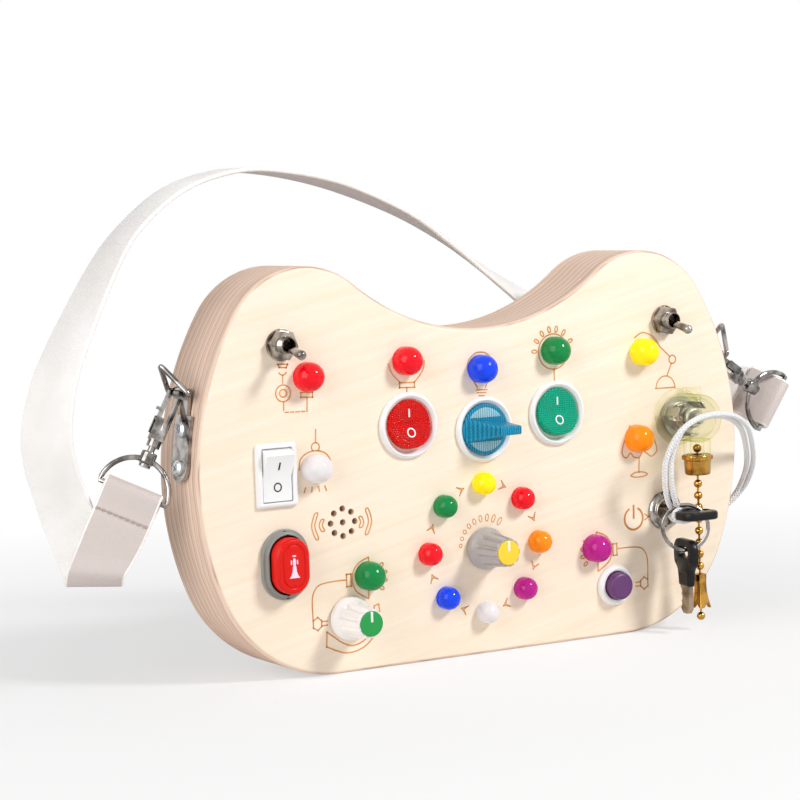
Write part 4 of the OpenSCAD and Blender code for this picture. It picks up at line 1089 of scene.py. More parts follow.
@dataclass(frozen=True)
class Strap:
    """Carrying strap: a cream band that turns round a D-ring's bar at each end.

    Attributes:
        hardware: Fittings that it hangs on.
        width: Width of the band.
        thick: Its thickness.
        lap: Length of the folded-over end.
        spans: Steps of the curve between two points.
        way: Points of the middle line between both folds, with the direction of the width.
    """

    hardware: Hardware = field(default_factory=Hardware)
    width: float = 20.0
    thick: float = 1.6
    lap: float = 13.0
    spans: int = 6
    way: tuple[tuple[Point, Point], ...] = (
        ((-138.5, 0.4, 46.5), (-0.77, 0.6, 0.2)), ((-141.6, 1, 40.6), (-0.77, 0.64, 0.05)),
        ((-140.9, 4.8, 37), (-0.77, 0.64, 0)), ((-140.4, 8.8, 40.8), (-0.77, 0.64, 0)),
        ((-142.4, 11.6, 49), (-0.76, 0.65, 0)), ((-144.7, 13.4, 57), (-0.75, 0.66, 0)),
        ((-147.4, 13.8, 66), (-0.7, 0.71, 0)), ((-150.2, 13.4, 74), (-0.64, 0.77, 0)),
        ((-152, 12.6, 84.6), (-0.57, 0.82, 0)),
        ((-150.6, 11.5, 98), (-0.48, 0.88, 0)), ((-145.8, 10, 113), (-0.36, 0.93, 0)),
        ((-131, 10, 140), (-0.12, 0.99, 0)), ((-120, 10, 154), (0, 1, 0)),
        ((-103, 11, 166), (0, 1, 0)),
        ((-83, 12, 171.5), (0, 1, 0)), ((-64, 14, 171), (0, 1, 0)), ((-37, 20, 166), (0, 1, 0)),
        ((-7, 28, 156), (0, 1, 0.1)), ((14, 32, 145), (0, 1, 0.3)),
        ((36, 35, 131), (-0.05, 0.9, 0.5)), ((60, 35, 115), (-0.2, 0.6, 0.8)),
        ((85, 33, 101), (-0.2, 0.3, 0.9)), ((107, 27, 91), (0, 0.1, 0.9)),
        ((124, 16, 84), (0.3, 0, 0.85)),
    )

    def folded_end(self, s: int, away: Vector, n: Vector) -> list[Vector]:
        """Points of the band round the bar: out along the lap, round it and back."""
        wrap = self.hardware.wire + 0.3 + self.thick / 2
        lap = self.thick / 2 + 0.15
        steps = (
            (self.lap, lap), (0.65 * self.lap, lap), (6, lap + 0.15), (3, 0.8 * wrap), (0, wrap),
            (-0.71 * wrap, 0.71 * wrap), (-wrap, 0), (-0.71 * wrap, -0.71 * wrap), (0, -wrap),
            (3, -0.8 * wrap), (6, -lap - 0.15), (0.65 * self.lap, -lap), (self.lap, -lap),
        )
        return [self.hardware.bar_mid(s) + q * away + r * n for q, r in steps]

    def line(self) -> tuple[list[Vector], list[Vector]]:
        """Middle line of the whole band and the direction of its width."""
        metal = self.hardware
        left_w, right_w = metal.bar_dir(-1), -metal.bar_dir(1)
        right_away = (Vector((0, 0.655, 0)) - 0.756 * metal.hook_axis(1)).normalized()
        left = self.folded_end(-1, metal.hook_axis(-1), metal.hook_axis(-1).cross(left_w))
        right = self.folded_end(1, right_away, right_w.cross(right_away))
        middle = left + [Vector(p) for p, _ in self.way] + right[::-1]
        sides = [left_w] * len(left) + [Vector(w) for _, w in self.way] + [right_w] * len(right)
        return smooth_line(middle, self.spans), smooth_line(sides, self.spans)

    def build(self) -> None:
        """Adds both halves of the band, and the folds round the D-rings."""
        middle, sides = self.line()
        count = len(middle)
        # The folds meet the halves at the first and the last point of the way
        half, seam = count // 2, self.spans * (count // self.spans + 1 - len(self.way)) // 2
        row = seam - 11
        parts = (
            ("strap_fold_left", slice(0, seam + 1), "d_ring_left", "hook_left",
             (-0.1304, 0, 0.0613), (-0.137, 0, 0.049), row),
            ("strap_left", slice(seam, half + 1), "hook_left", "board",
             (-0.12, 0, 0.08), (-0.15, 0.01, 0.12), None),
            ("strap_right", slice(half, count - seam), "hook_right", "board",
             (0.118, 0.02, 0.085), (0.06, 0.03, 0.12), None),
            ("strap_fold_right", slice(count - seam - 1, None), "d_ring_right", "hook_right",
             (0.1365, 0.004, 0.0804), (0.1278, 0.0132, 0.0865), count - 1 - row),
        )
        for name, part, near, far, start, end, stitched in parts:
            bm = swept(middle[part], band_section(self.width, self.thick), sides[part],
                       square=False)
            piece = finish_piece(name, bm, None, LEATHER, ["strap"], crease=50)
            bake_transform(piece)
            if stitched:
                bm = bmesh.new()
                self.stitches(bm, middle, sides, stitched)
                piece = finish_piece(f"{name}_stitches", bm, None, THREAD)
                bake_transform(piece)

    def stitches(self, bm: BMesh, middle: list[Vector], sides: list[Vector], row: int) -> None:
        """Adds one row of stitches across the band, on both its sides."""
        t = direction(middle, row)
        side = (sides[row] - sides[row].dot(t) * t).normalized()
        up = t.cross(side)
        for face in (-1, 1):
            for k in range(-4, 5):
                centre = middle[row] + 2.1 * k * side + face * (self.thick / 2 + 0.05) * up
                ends = [centre - 0.75 * side, centre + 0.12 * face * up, centre + 0.75 * side]
                merge(bm, swept(smooth_line(ends, 3), circle(0.36, 8)))


# ------------------------------------------------------------------ board


@dataclass(frozen=True)
class Outline:
    """The board's bean shape: flat edge, round corners, two humps and a dip.

    Attributes:
        board_w: Width of the board.
        board_h: Height of its humps.
        hump_x: Distance of a hump's middle from the board's middle.
        hump_r: Radius of a hump.
        dip_z: Height of the dip's lowest point.
        side_r: Radius of a side.
        corner_r: Radius of a lower corner.
    """

    board_w: float = 222
    board_h: float = 139
    hump_x: float = 69
    hump_r: float = 31
    dip_z: float = 114.7
    side_r: float = 105.5
    corner_r: float = 46.5

    def half(self, inset: float) -> Profile:
        """Right half from the lower edge to the dip, drawn in by inset."""
        side_x = self.board_w / 2 - self.side_r
        hump_z = self.board_h - self.hump_r
        drop = self.side_r - self.hump_r
        side_z = hump_z - math.sqrt(drop**2 - (self.hump_x - side_x) ** 2)
        nook = self.side_r - self.corner_r
        corner_x = side_x + math.sqrt(nook**2 - (self.corner_r - side_z) ** 2)
        dip_drop = self.dip_z - hump_z
        dip_r = (self.hump_x**2 + dip_drop**2 - self.hump_r**2) / (2 * (self.hump_r - dip_drop))
        a1 = math.atan2(self.corner_r - side_z, corner_x - side_x)
        a2 = math.atan2(hump_z - side_z, self.hump_x - side_x)
        a3 = math.atan2(self.dip_z + dip_r - hump_z, -self.hump_x)
        arcs = (
            (corner_x, self.corner_r, self.corner_r - inset, -math.pi / 2, a1, 30),
            (side_x, side_z, self.side_r - inset, a1, a2, 30),
            (self.hump_x, hump_z, self.hump_r - inset, a2, a3, 44),
            (0, self.dip_z + dip_r, dip_r + inset, a3 - math.pi, -math.pi / 2, 24),
        )
        made = [(0.0, inset)]
        for x, z, r, start, end, n in arcs:
            made += arc(r, start, end, n, x, z)
        return made

    def loop(self, inset: float = 0.0) -> Profile:
        """The whole outline, once round, without doubled points."""
        right = self.half(inset)
        whole = right + [(-x, z) for x, z in reversed(right)]
        made: Profile = []
        for p in whole:
            if not made or math.dist(p, made[-1]) > 0.02:
                made.append(p)
        return made[:-1] if math.dist(made[0], made[-1]) < 0.02 else made


def layer(rings: Sequence[tuple[Profile, float]], holes: Sequence[Profile]) -> BMesh:
    """Layer of the board: a rounded edge through rings, with holes right through.

    Args:
        rings: Outline and Y of each ring, from one face to the other.
        holes: Outlines of the holes.

    Returns:
        The closed layer.
    """
    bm = bmesh.new()
    loops = [edge_loop(bm, [(x, y, z) for x, z in points]) for points, y in rings]
    bridge(bm, loops, capped=False)
    near, far = (
        [edge_loop(bm, [(x, rings[end][1], z) for x, z in points]) for points in holes]
        for end in (0, -1)
    )
    for pair in zip(near, far):
        bridge(bm, pair, capped=False)
    for edge, others in ((loops[0], near), (loops[-1], far)):
        edges = edge + [e for loop in others for e in loop]
        bmesh.ops.triangle_fill(bm, use_beauty=True, use_dissolve=False, edges=edges)
    bmesh.ops.recalc_face_normals(bm, faces=bm.faces)
    return bm


@dataclass(frozen=True)
class Board:
    """Plywood body: a front panel, a ring and a back panel, glued and screwed.

    Attributes:
        outline: Shape of all three layers.
        edge: Radius of the outer edges.
        wall: Width of the ring.
        speaker: Middle of the speaker's holes.
        tray: Middle, width and height of the battery box.
        cord_hole: Place and radius of the hole for the key's cord.
        core: Half the depth of the ring between the panels.
        groove: Inset and depth of the fine groove where two layers meet.
    """

    outline: Outline = field(default_factory=Outline)
    edge: float = 1.6
    wall: float = 11
    speaker: tuple[float, float] = (-57.4, 51.7)
    tray: tuple[float, float, float, float] = (0, 45, 68.1, 40.1)
    cord_hole: tuple[float, float, float] = (2, 38, 3.2)
    core: float = 10.0
    groove: tuple[float, float] = (0.12, 0.15)

    def rounded(self, face: float, back: float) -> list[tuple[Profile, float]]:
        """Rings of a panel whose outer edge is rounded."""
        s = 1 if back > face else -1
        rings = []
        for k in range(6):
            a = math.pi / 2 * k / 5
            inset = self.edge * (1 - math.sin(a))
            rings.append((self.outline.loop(inset), face + s * self.edge * (1 - math.cos(a))))
        inset, depth = self.groove
        return [*rings, (self.outline.loop(), back - depth * s), (self.outline.loop(inset), back)]

    def build(self) -> None:
        """Adds the three layers."""
        x, z = self.speaker
        holes = [circle(1.1, 32, *middle) for middle in ((x, z), *circle(4.7, 8, x, z))]
        finish_piece("panel_front", layer(self.rounded(FACE_Y, -self.core), holes), "board",
                     PLYWOOD, ["front_panel"], crease=40)
        x, z, w, h = self.tray
        holes = [[(x - w / 2, z - h / 2), (x + w / 2, z - h / 2), (x + w / 2, z + h / 2),
                  (x - w / 2, z + h / 2)]]
        screws = ((99, 96), (100, 42), (48, 6.5), (62, 130))
        holes += [circle(3.1, 32, s * sx, sz) for sx, sz in screws for s in (-1, 1)]
        finish_piece("panel_back", layer(self.rounded(BACK_Y, self.core), holes), "board",
                     PLYWOOD, ["back_panel"], crease=40)
        inset, depth = self.groove
        whole, groove = self.outline.loop(), self.outline.loop(inset)
        end = self.core - 0.01  # Clear of the panels
        side = self.core - depth
        rings = [(groove, -end), (whole, -side), (whole, side), (groove, end)]
        ring = finish_piece("ring", layer(rings, [self.outline.loop(self.wall)]), "board",
                            PLYWOOD, ["frame_ring"], crease=40)
        self.bore(ring)

    def bore(self, ring: bpy.types.Object) -> None:
        """Cuts the cord's hole through the ring's right wall."""
        y, z, r = self.cord_hole
        bm = turned([(0, 0), (r, 0), (r, 60), (0, 60)], 32)
        place = Matrix.Translation((70, y, z)) @ rotation(90, "Y")
        bm.transform(Matrix.Scale(MM, 4) @ place)
        mesh = bpy.data.meshes.new("bore")
        bm.to_mesh(mesh)
        bm.free()
        cutter = add_object("bore", mesh)
        cut = ring.modifiers.new("bore", "BOOLEAN")
        cut.object = cutter
        cut.solver = "EXACT"
        graph = bpy.context.evaluated_depsgraph_get()
        done = bpy.data.meshes.new_from_object(ring.evaluated_get(graph))
        ring.modifiers.clear()
        ring.data = done
        bpy.data.objects.remove(cutter)


# ------------------------------------------------------------------ signs


@dataclass(frozen=True)
class BurntSigns:
    """Brown line signs on the face: everyday things beside the control that works them.

    Attributes:
        line_w: Width of a line.
        depth: Thickness of the burnt skin.
    """

    line_w: float = 0.5
    depth: float = 0.1

    def stroke(self, bm: BMesh, path: list[Vector], closed: bool = False) -> None:
        """Adds one stroke that follows a path on the face."""
        count = len(path)
        sides = []
        for i in range(count):
            if closed:
                t = (path[(i + 1) % count] - path[i - 1]).normalized()
            else:
                t = direction(path, i)
            sides.append(t.cross(Vector((0, 1, 0))))
        merge(bm, swept(path, band_section(self.line_w, self.depth), sides, closed))

    def curve(self, bm: BMesh, *points: tuple[float, float]) -> None:
        """Adds a smooth line through points of the face."""
        path = [(x, SIGN_Y, z) for x, z in points]
        self.stroke(bm, smooth_line(path, 8 if len(path) > 2 else 1))

    def lines(self, bm: BMesh, *points: tuple[float, float]) -> None:
        """Adds straight lines that meet in corners."""
        for a, b in zip(points, points[1:]):
            start, end = Vector((a[0], SIGN_Y, a[1])), Vector((b[0], SIGN_Y, b[1]))
            reach = 0.3 * (end - start).normalized()
            self.stroke(bm, [start - reach, end + reach])

    def dashes(self, bm: BMesh, a: tuple[float, float], b: tuple[float, float]) -> None:
        """Adds a dashed straight line."""
        start, end = Vector(a), Vector(b)
        count = max(round((end - start).length / 1.9), 1)
        for k in range(count):
            p = start.lerp(end, (k + 0.2) / count)
            q = start.lerp(end, (k + 0.75) / count)
            self.lines(bm, tuple(p), tuple(q))

    def ring(self, bm: BMesh, x: float, z: float, r: float, start: float = 0,
             end: float = 360) -> None:
        """Adds a circle, or the arc of it between two angles in degrees."""
        whole = end - start >= 360
        steps = max(int((end - start) / 12), 6)
        points = arc(r, math.radians(start), math.radians(end), steps, x, z)
        path = [Vector((px, SIGN_Y, pz)) for px, pz in points]
        self.stroke(bm, path[:-1] if whole else path, whole)

    def loops(self, bm: BMesh, x: float, z: float, radius: float, angles: Sequence[float],
              length: float, half: float = 0.55) -> None:
        """Adds rays that are narrow loops round a point."""
        for angle in angles:
            a = math.radians(angle)
            out, across = Vector((math.cos(a), math.sin(a))), Vector((-math.sin(a), math.cos(a)))
            mid = Vector((x, z)) + radius * out
            points = (mid + length / 2 * math.cos(t) * out + half * math.sin(t) * across
                      for t in (math.pi * k / 8 for k in range(16)))
            self.stroke(bm, [Vector((p.x, SIGN_Y, p.y)) for p in points], closed=True)

    def lamps_at_top(self, bm: BMesh) -> None:
        """Adds the signs of the lamps that the switches at the top work."""
        self.lines(bm, (-80.0, 106.8), (-76.3, 106.6), (-76.9, 105.5), (-79.5, 105.7), (-80, 106.8))
        self.ring(bm, -78.3, 104.6, 1.5, 200, 340)
        self.dashes(bm, (-78.3, 103.2), (-78.4, 100.1))
        self.ring(bm, -78.4, 97.0, 2.8)
        self.ring(bm, -78.4, 97.0, 1.3)
        self.dashes(bm, (-78.3, 94.1), (-78.4, 91.0))
        self.dashes(bm, (-78.2, 90.6), (-70.0, 90.4))
        self.lines(bm, (-69.6, 90.4), (-69.4, 94.8))
        self.lines(bm, (-71.8, 95.2), (-67.3, 95.0), (-67.2, 96.6), (-71.7, 96.8), (-71.8, 95.2))
        self.curve(bm, (-37.6, 104.6), (-36.9, 102.2), (-35.5, 100), (-33.2, 97.8))
        self.lines(bm, (-33.3, 97.6), (-27.5, 97.4), (-27.4, 95.7), (-33.4, 95.9), (-33.3, 97.6))
        self.curve(bm, (-27.4, 97.5), (-25.2, 99.7), (-23.6, 102.2), (-23.2, 104.8))
        self.lines(bm, (-30.5, 95.8), (-30.6, 93.9))
        self.curve(bm, (-1.9, 93.7), (-3.4, 96.2), (-5.6, 99.6), (-5.5, 103.1), (-2.9, 105.7),
                   (-0.4, 106.2), (2.1, 105.6), (4.6, 103), (4.7, 99.4), (2.6, 96.1), (1.3, 93.6))
        for x, z, half in ((-0.3, 93.0, 2.1), (-0.3, 92.0, 1.7), (-0.3, 91.0, 1.0)):
            self.lines(bm, (x - half, z + 0.05), (x + half, z - 0.05))
        self.ring(bm, 30.2, 104.6, 6.3)
        self.loops(bm, 30.2, 104.6, 8.0, (25, 55, 79, 101, 125, 150, 177), 2.2)
        self.lines(bm, (30.4, 98.2), (30.3, 94.2))
        self.curve(bm, (65.6, 107.4), (69.2, 109.2), (73.6, 107.6), (77.0, 103.6))
        self.lines(bm, (77.2, 103.4), (81.2, 99.9))
        self.ring(bm, 82.4, 98.7, 1.5)
        self.lines(bm, (81.9, 97.2), (79.9, 93.0))
        self.ring(bm, 79.0, 88.6, 4.2, 0, 180)
        self.lines(bm, (74.6, 88.5), (83.3, 88.4))

    def lamps_at_sides(self, bm: BMesh) -> None:
        """Adds the signs of the hanging lamp, the floor lamp and the sound."""
        self.lines(bm, (-66.6, 83.9), (-66.8, 79.7))
        self.ring(bm, -66.9, 78.1, 1.5, -60, 240)
        self.curve(bm, (-73.4, 70.6), (-72.9, 74.0), (-70.6, 76.1), (-67.0, 76.9), (-63.4, 75.9),
                   (-61.4, 73.4), (-61.2, 70.2))
        for x, tilt in ((-71.2, -0.5), (-68.7, -0.2), (-66.2, 0.2), (-63.8, 0.5)):
            self.lines(bm, (x, 64.6), (x + tilt, 63.2))
        self.curve(bm, (62.7, 76.0), (60.9, 72.0), (59.0, 67.4), (59.3, 65.1), (60.9, 64.2),
                   (62.6, 65.8), (64.0, 64.3), (66.4, 63.9), (68.0, 65.7), (69.6, 65.4),
                   (71.9, 63.9), (74.0, 65.2), (74.4, 66.8), (73.2, 70.4), (71.4, 73.6))
        self.lines(bm, (66.4, 63.8), (66.2, 58.6))
        self.curve(bm, (62.4, 57.5), (64.1, 58.4), (66.1, 58.6), (68.3, 58.4), (69.9, 57.5),
                   (68.2, 56.9), (66.1, 56.8), (64.0, 56.9), (62.4, 57.5))
        for points in (
            ((-67.5, 55.6), (-68.8, 51.4), (-67.5, 47.2)), ((-65.2, 53.3), (-65.9, 51.4),
             (-65.1, 49.5)), ((-50.6, 53), (-49.9, 51.2), (-50.5, 49.5)),
            ((-47.9, 55.4), (-46.8, 51.2), (-48.2, 47.1)),
        ):
            down = [(x - 0.6, z) for x, z in points]
            back = [(x + 0.6, z) for x, z in reversed(points)]
            self.curve(bm, *down, *back, down[0])

    def headlights(self, bm: BMesh) -> None:
        """Adds both headlights with their cables and plugs, and the rays beside them."""
        for s, x0, z0 in ((-1, -48.0, 31.7), (1, 46.8, 31.3)):
            at = [(x0 + s * x, z0 + z) for x, z in ((-0.2, 7.2), (0.3, 0), (0.2, -7.2))]
            self.curve(bm, *at)
            bowl = [(-0.2, 7.2), (4.2, 5.2), (6.6, 1.1), (5.2, -3.9), (0.2, -7.2)]
            self.curve(bm, *((x0 + s * x, z0 + z) for x, z in bowl))
            box = [(7.0, 2.1), (8.7, 2.1), (8.7, -2.1), (7.0, -2.1), (7.0, 2.1)]
            self.lines(bm, *((x0 + s * x, z0 + z) for x, z in box))
            cable = [(8.9, 0.2), (14, 0.2), (19, -0.4), (21.4, -2.6), (22.2, -6), (22.1, -12.4)]
            self.curve(bm, *((x0 + s * x, z0 + z) for x, z in cable))
            plug = [(22.1, -12.4), (20.4, -11.4), (18.9, -12.6), (18.9, -14.6), (20.4, -15.8),
                    (22.1, -14.8), (22.1, -12.4)]
            self.lines(bm, *((x0 + s * x, z0 + z) for x, z in plug))
            for z in (-13.0, -14.4):
                self.lines(bm, (x0 + s * 18.6, z0 + z), (x0 + s * 16.8, z0 + z))
            self.loops(bm, x0, z0, 6.4, [a if s < 0 else 180 - a for a in (38, 12, -12, -38)], 1.9)

    def dials(self, bm: BMesh) -> None:
        """Adds the signs at the knobs and the lock: arrow, rising marks, power, chevrons."""
        self.lines(bm, (-65, 14.9), (-60.7, 11.7))
        self.lines(bm, (-65, 14.9), (-65.3, 9.9), (-62.7, 8.7))
        self.curve(bm, (-62.7, 8.6), (-57.3, 6.9), (-51.4, 7.9), (-47.2, 11.0), (-44.8, 15.4),
                   (-44.2, 19.2), (-44.5, 22.3))
        self.curve(bm, (-60.7, 11.5), (-55.6, 9.2), (-50.6, 10.5), (-47.4, 13.9), (-46.4, 17.8),
                   (-46.3, 21.7))
        self.lines(bm, (-46.2, 21.9), (-44.5, 22.3))
        fine = replace(self, line_w=0.34)
        for k in range(9):
            fine.loops(bm, -1, 37.3, 10.0 + 0.13 * k, [170 - 14.5 * k], 1.1 + 0.24 * k, 0.62)
        for r in (3.9, 4.2):
            self.ring(bm, 63.3, 41.8, r, 116, 424)
        for dx in (-0.15, 0.15):
            self.lines(bm, (63.4 + dx, 46.6), (63.3 + dx, 42.0))
        self.lines(bm, (68.4, 42.9), (69.8, 41.9), (68.4, 40.9))
        for k in range(8):
            angle = math.radians(22.5 + 45 * k)
            out = Vector((math.cos(angle), math.sin(angle)))
            on = Vector((out.y, -out.x))
            tip = Vector((-1.4, 37.6)) + 22.7 * out + 1.2 * on
            a, b = tip + 1.5 * out - 2.3 * on, tip - 1.5 * out - 2.3 * on
            notch = tip - 1.05 * on
            fine.lines(bm, tuple(a), tuple(tip), tuple(b), tuple(notch), tuple(a))

    def build(self) -> None:
        """Adds all signs in four pieces."""
        for name, draw in (
            ("signs_top", self.lamps_at_top), ("signs_sides", self.lamps_at_sides),
            ("signs_headlights", self.headlights), ("signs_dials", self.dials),
        ):
            bm = bmesh.new()
            draw(bm)
            finish_piece(name, bm, "board", BURNT_LINE)


# ------------------------------------------------------------------ lamps


@dataclass(frozen=True)
class Lamps:
    """Domed signal lamps: nine large ones and a circle of eight small ones.

    Attributes:
        large: Place and colour of each large lamp.
        small: Colours clockwise from the top of the circle.
        middle: Middle of the circle of small lamps.
        radius: Radius of that circle.
        large_dome: Radius and straight height of a large dome.
        small_dome: Radius and straight height of a small one.
    """

    large: tuple[tuple[float, float, Lamp], ...] = (
        (-69.5, 102, Lamp.RED), (-31, 105, Lamp.RED), (-0.8, 100.4, Lamp.BLUE),
        (30, 105, Lamp.GREEN), (68.5, 102.3, Lamp.YELLOW), (65.2, 71, Lamp.ORANGE),
        (-67.6, 71, Lamp.WHITE), (-48.5, 32.6, Lamp.GREEN), (45.4, 32.8, Lamp.MAGENTA),
    )
    small: tuple[Lamp, ...] = (
        Lamp.YELLOW, Lamp.RED, Lamp.ORANGE, Lamp.MAGENTA,
        Lamp.WHITE, Lamp.BLUE, Lamp.RED, Lamp.GREEN,
    )
    middle: tuple[float, float] = (-1.4, 37.6)
    radius: float = 22.7
    large_dome: tuple[float, float] = (5.0, 2.8)
    small_dome: tuple[float, float] = (4.0, 2.2)

    def dome(self, r: float, rise: float) -> BMesh:
        """Lens with a collar under the panel and two wires."""
        low = -6.5  # The collar's underside, 1.5 mm behind the panel
        lens = arc(r, 0, math.pi / 2, 14, 0, rise)
        profile = [(0, low), (r + 0.7, low), (r + 0.7, low + 1.4), (r, low + 1.4), *lens]
        bm = turned(profile, 56)
        for s in (-1, 1):
            leg = block((0.6, 0.6, 6), (s * 1.27, 0, low - 2.6), 0.15, 1)
            merge(bm, leg)
        return bm

    def build(self) -> None:
        """Adds one mesh for all domes of each colour."""
        places = [(x, z, self.large_dome, lamp) for x, z, lamp in self.large]
        for k, lamp in enumerate(self.small):
            a = 2 * math.pi * k / len(self.small)
            x = self.middle[0] + self.radius * math.sin(a)
            z = self.middle[1] + self.radius * math.cos(a)
            places.append((x, z, self.small_dome, lamp))
        for lamp in Lamp:
            node, hue = lamp.value
            word = node.removeprefix("led_")
            bm = bmesh.new()
            for x, z, dome, kind in places:
                if kind is lamp:
                    merge(bm, self.dome(*dome), face_place(x, z))
            # The lenses get a painted glow in their own hue, for light through the epoxy
            look = Finish(f"{word}_lens_epoxy", hue, roughness=0.02, ior=1.34, subsurface=0.06,
                          grain_mm=4, painted_glow=0.1)
            finish_piece(f"lamps_{word}", bm, "board", look, [node])


# ------------------------------------------------------------------ switches


def tilted_cap(
    outline: Profile, low: float, valley: float, tilt: float, rim: float
) -> BMesh:
    """Rocker cap whose two halves rise from a valley across y = 0.

    Args:
        outline: Points round the cap.
        low: Height of its underside.
        valley: Height of the valley.
        tilt: Slope of each half in degrees.
        rim: Radius of its upper edge.

    Returns:
        The cap in its pivot's frame.
    """
    bm = plate(outline, low, valley, 0)
    parts = bm.verts[:] + bm.edges[:] + bm.faces[:]
    bmesh.ops.bisect_plane(bm, geom=parts, plane_co=(0, 0, 0), plane_no=(0, 1, 0))
    for v in bm.verts:
        if abs(v.co.z - valley) < 1e-4:
            v.co.z += abs(v.co.y) * math.tan(math.radians(tilt))
    edge = [e for e in bm.edges if all(v.co.z > valley - 1e-4 for v in e.verts)
            and not all(abs(v.co.y) < 1e-4 for v in e.verts)]
    round_edges(bm, edge, rim)
    return bm


def on_half(side: int, reach: float, valley: float, tilt: float) -> Matrix:
    """Matrix of the frame that lies on one half of a rocker cap."""
    rise = reach * math.tan(math.radians(tilt))
    return Matrix.Translation((0, side * reach, valley + rise)) @ rotation(side * tilt, "X")


def mark_on() -> BMesh:
    """Upright bar that stands for on."""
    return block((0.6, 2.9, 0.16), (0, 0, 0), 0.06, 1)


def mark_off(r: float = 1.45) -> BMesh:
    """Ring that stands for off."""
    path = [Vector((r * math.cos(a), 1.05 * r * math.sin(a), 0))
            for a in (math.pi * k / 16 for k in range(32))]
    sides = [Vector((p.x, p.y, 0)) for p in path]
    return swept(path, band_section(0.48, 0.16), sides, closed=True)


def spade_tabs(bm: BMesh, z: float) -> None:
    """Adds two contact tabs behind a switch."""
    for x in (-3.5, 3.5):
        merge(bm, block((0.8, 4.8, 3.5), (x, 0, z - 1.65), 0.1, 1))


@dataclass(frozen=True)
class RoundSwitches:
    """Two round rockers and the rotary switch between them, in white housings.

    Attributes:
        rocker_at: Place of the right rocker; the left one mirrors it.
        rotary_at: Place of the rotary switch.
        bezel_r: Radius of a bezel.
        bezel_h: Its height on the face.
        well_r: Radius of the well that holds the cap.
        body_r: Radius of the body behind the bezel.
        cap_r: Radius of a rocker cap.
        tilt: Slope of a cap's halves.
    """

    rocker_at: tuple[float, float] = (30.6, 82.8)
    rotary_at: tuple[float, float] = (0, 79.2)
    bezel_r: float = 11.5
    bezel_h: float = 1.8
    well_r: float = 9.3
    body_r: float = 10.0
    cap_r: float = 8.4
    tilt: float = 10.7

    def housing(self) -> BMesh:
        """White housing with a chamfered bezel."""
        r, h = self.bezel_r, self.bezel_h
        rim = fillet([(self.body_r, -0.02), (r, -0.02), (r, 0.5 * h), (r - 0.9, h),
                      (self.well_r + 1.0, h), (self.well_r, h - 0.9), (self.well_r, -7)], 0.25, 3)
        bm = turned([(0, -16), (self.body_r, -16), *rim, (0, -7)], 96)
        spade_tabs(bm, -16)
        return bm

    def rocker(self, x: float, name: str, hue: Hue) -> None:
        """Adds one rocker's cap with its two marks."""
        colour = name.removeprefix("rocker_")
        place = (face_place(x, self.rocker_at[1]) @ Matrix.Translation((0, 0, -1))
                 @ rotation(-self.tilt, "X"))
        bm = tilted_cap(circle(self.cap_r, 64), -3.5, 2.2, self.tilt, 0.45)
        merge(bm, block((2 * self.well_r + 0.9, 1.6, 1.6), (0, 0, 0), 0.3))
        bm.transform(place)
        finish_piece(f"{name}_cap", bm, name, GridCap(f"{colour}_translucent_cap", hue),
                     [f"rocker_cap_{colour}"])
        bm = bmesh.new()
        merge(bm, mark_on(), on_half(1, 3.8, 2.24, self.tilt))
        merge(bm, mark_off(), on_half(-1, 3.0, 2.24, self.tilt))
        bm.transform(place)
        finish_piece(f"{name}_marks", bm, name, WHITE_INK)

    def rotary(self) -> None:
        """Adds the blue knob: a disc with two pale pockets and a grip that rises to the right."""
        bm = turned([(0, -10.5), (1.5, -10.5), (1.5, -2.5), (8.9, -2.5),
                     *fillet([(8.9, -2.5), (8.9, 1.5), (0, 1.5)], 0.5)[1:]], 80)
        feet = [(-8, -4.2), (8.2, -2.2), (8.2, 2.2), (-8, 4.2)]
        tops = [(-0.9, -1.5), (7.7, -1.5), (7.7, 1.5), (-0.9, 1.5)]
        grip = bmesh.new()
        loops = []
        for level in range(9):
            t = level / 8
            loops.append(edge_loop(grip, [(a + (c - a) * t, b + (d - b) * t, 1.3 + 11.7 * t)
                                          for (a, b), (c, d) in zip(feet, tops)]))
        bridge(grip, loops)
        corners = [e for e in grip.edges if abs(e.verts[0].co.z - e.verts[1].co.z) > 0.5
                   or all(v.co.z > 12.9 for v in e.verts)]
        round_edges(grip, corners, 0.55, 4)
        bmesh.ops.recalc_face_normals(grip, faces=grip.faces)
        merge(bm, grip)
        # Raised ribs that run up the slope of the grip
        for k in range(5):
            y = -1.0 + 0.5 * k
            path = [Vector((-7.6 + 0.2, y * 2.4, 2.4)), Vector((-4.4, y * 1.8, 7.4)),
                    Vector((-1.1, y, 12.8))]
            merge(bm, swept(path, circle(0.22, 8)))
        bm.transform(face_place(*self.rotary_at))
        finish_piece("rotary_grip", bm, "rotary",
                     GridCap("blue_translucent_knob", Hue.KNOB_BLUE, 0.9, ribs=True),
                     ["rotary_knob"])
        bm = bmesh.new()
        for s in (-1, 1):
            start = math.asin(4.2 / 7.7)
            pocket = arc(7.7, start, math.pi - start, 16)
            half_turn = rotation(90 * (1 - s), "Z")
            merge(bm, plate(pocket, 1.4, 1.62, 0.08), half_turn)
        bm.transform(face_place(*self.rotary_at))
        finish_piece("rotary_pockets", bm, "rotary",
                     GridCap("pale_blue_translucent", Hue.POCKET, 0.9, ribs=True))

    def build(self) -> None:
        """Adds the housings, both rockers and the rotary knob."""
        bm = bmesh.new()
        x, z = self.rocker_at
        for place in ((-x, z), (x, z), self.rotary_at):
            merge(bm, self.housing(), face_place(*place))
        finish_piece("round_switch_housings", bm, "board", WHITE_ABS,
                     ["round_housings"])
        self.rocker(-x, "rocker_red", Hue.CAP_RED)
        self.rocker(x, "rocker_green", Hue.CAP_GREEN)
        self.rotary()


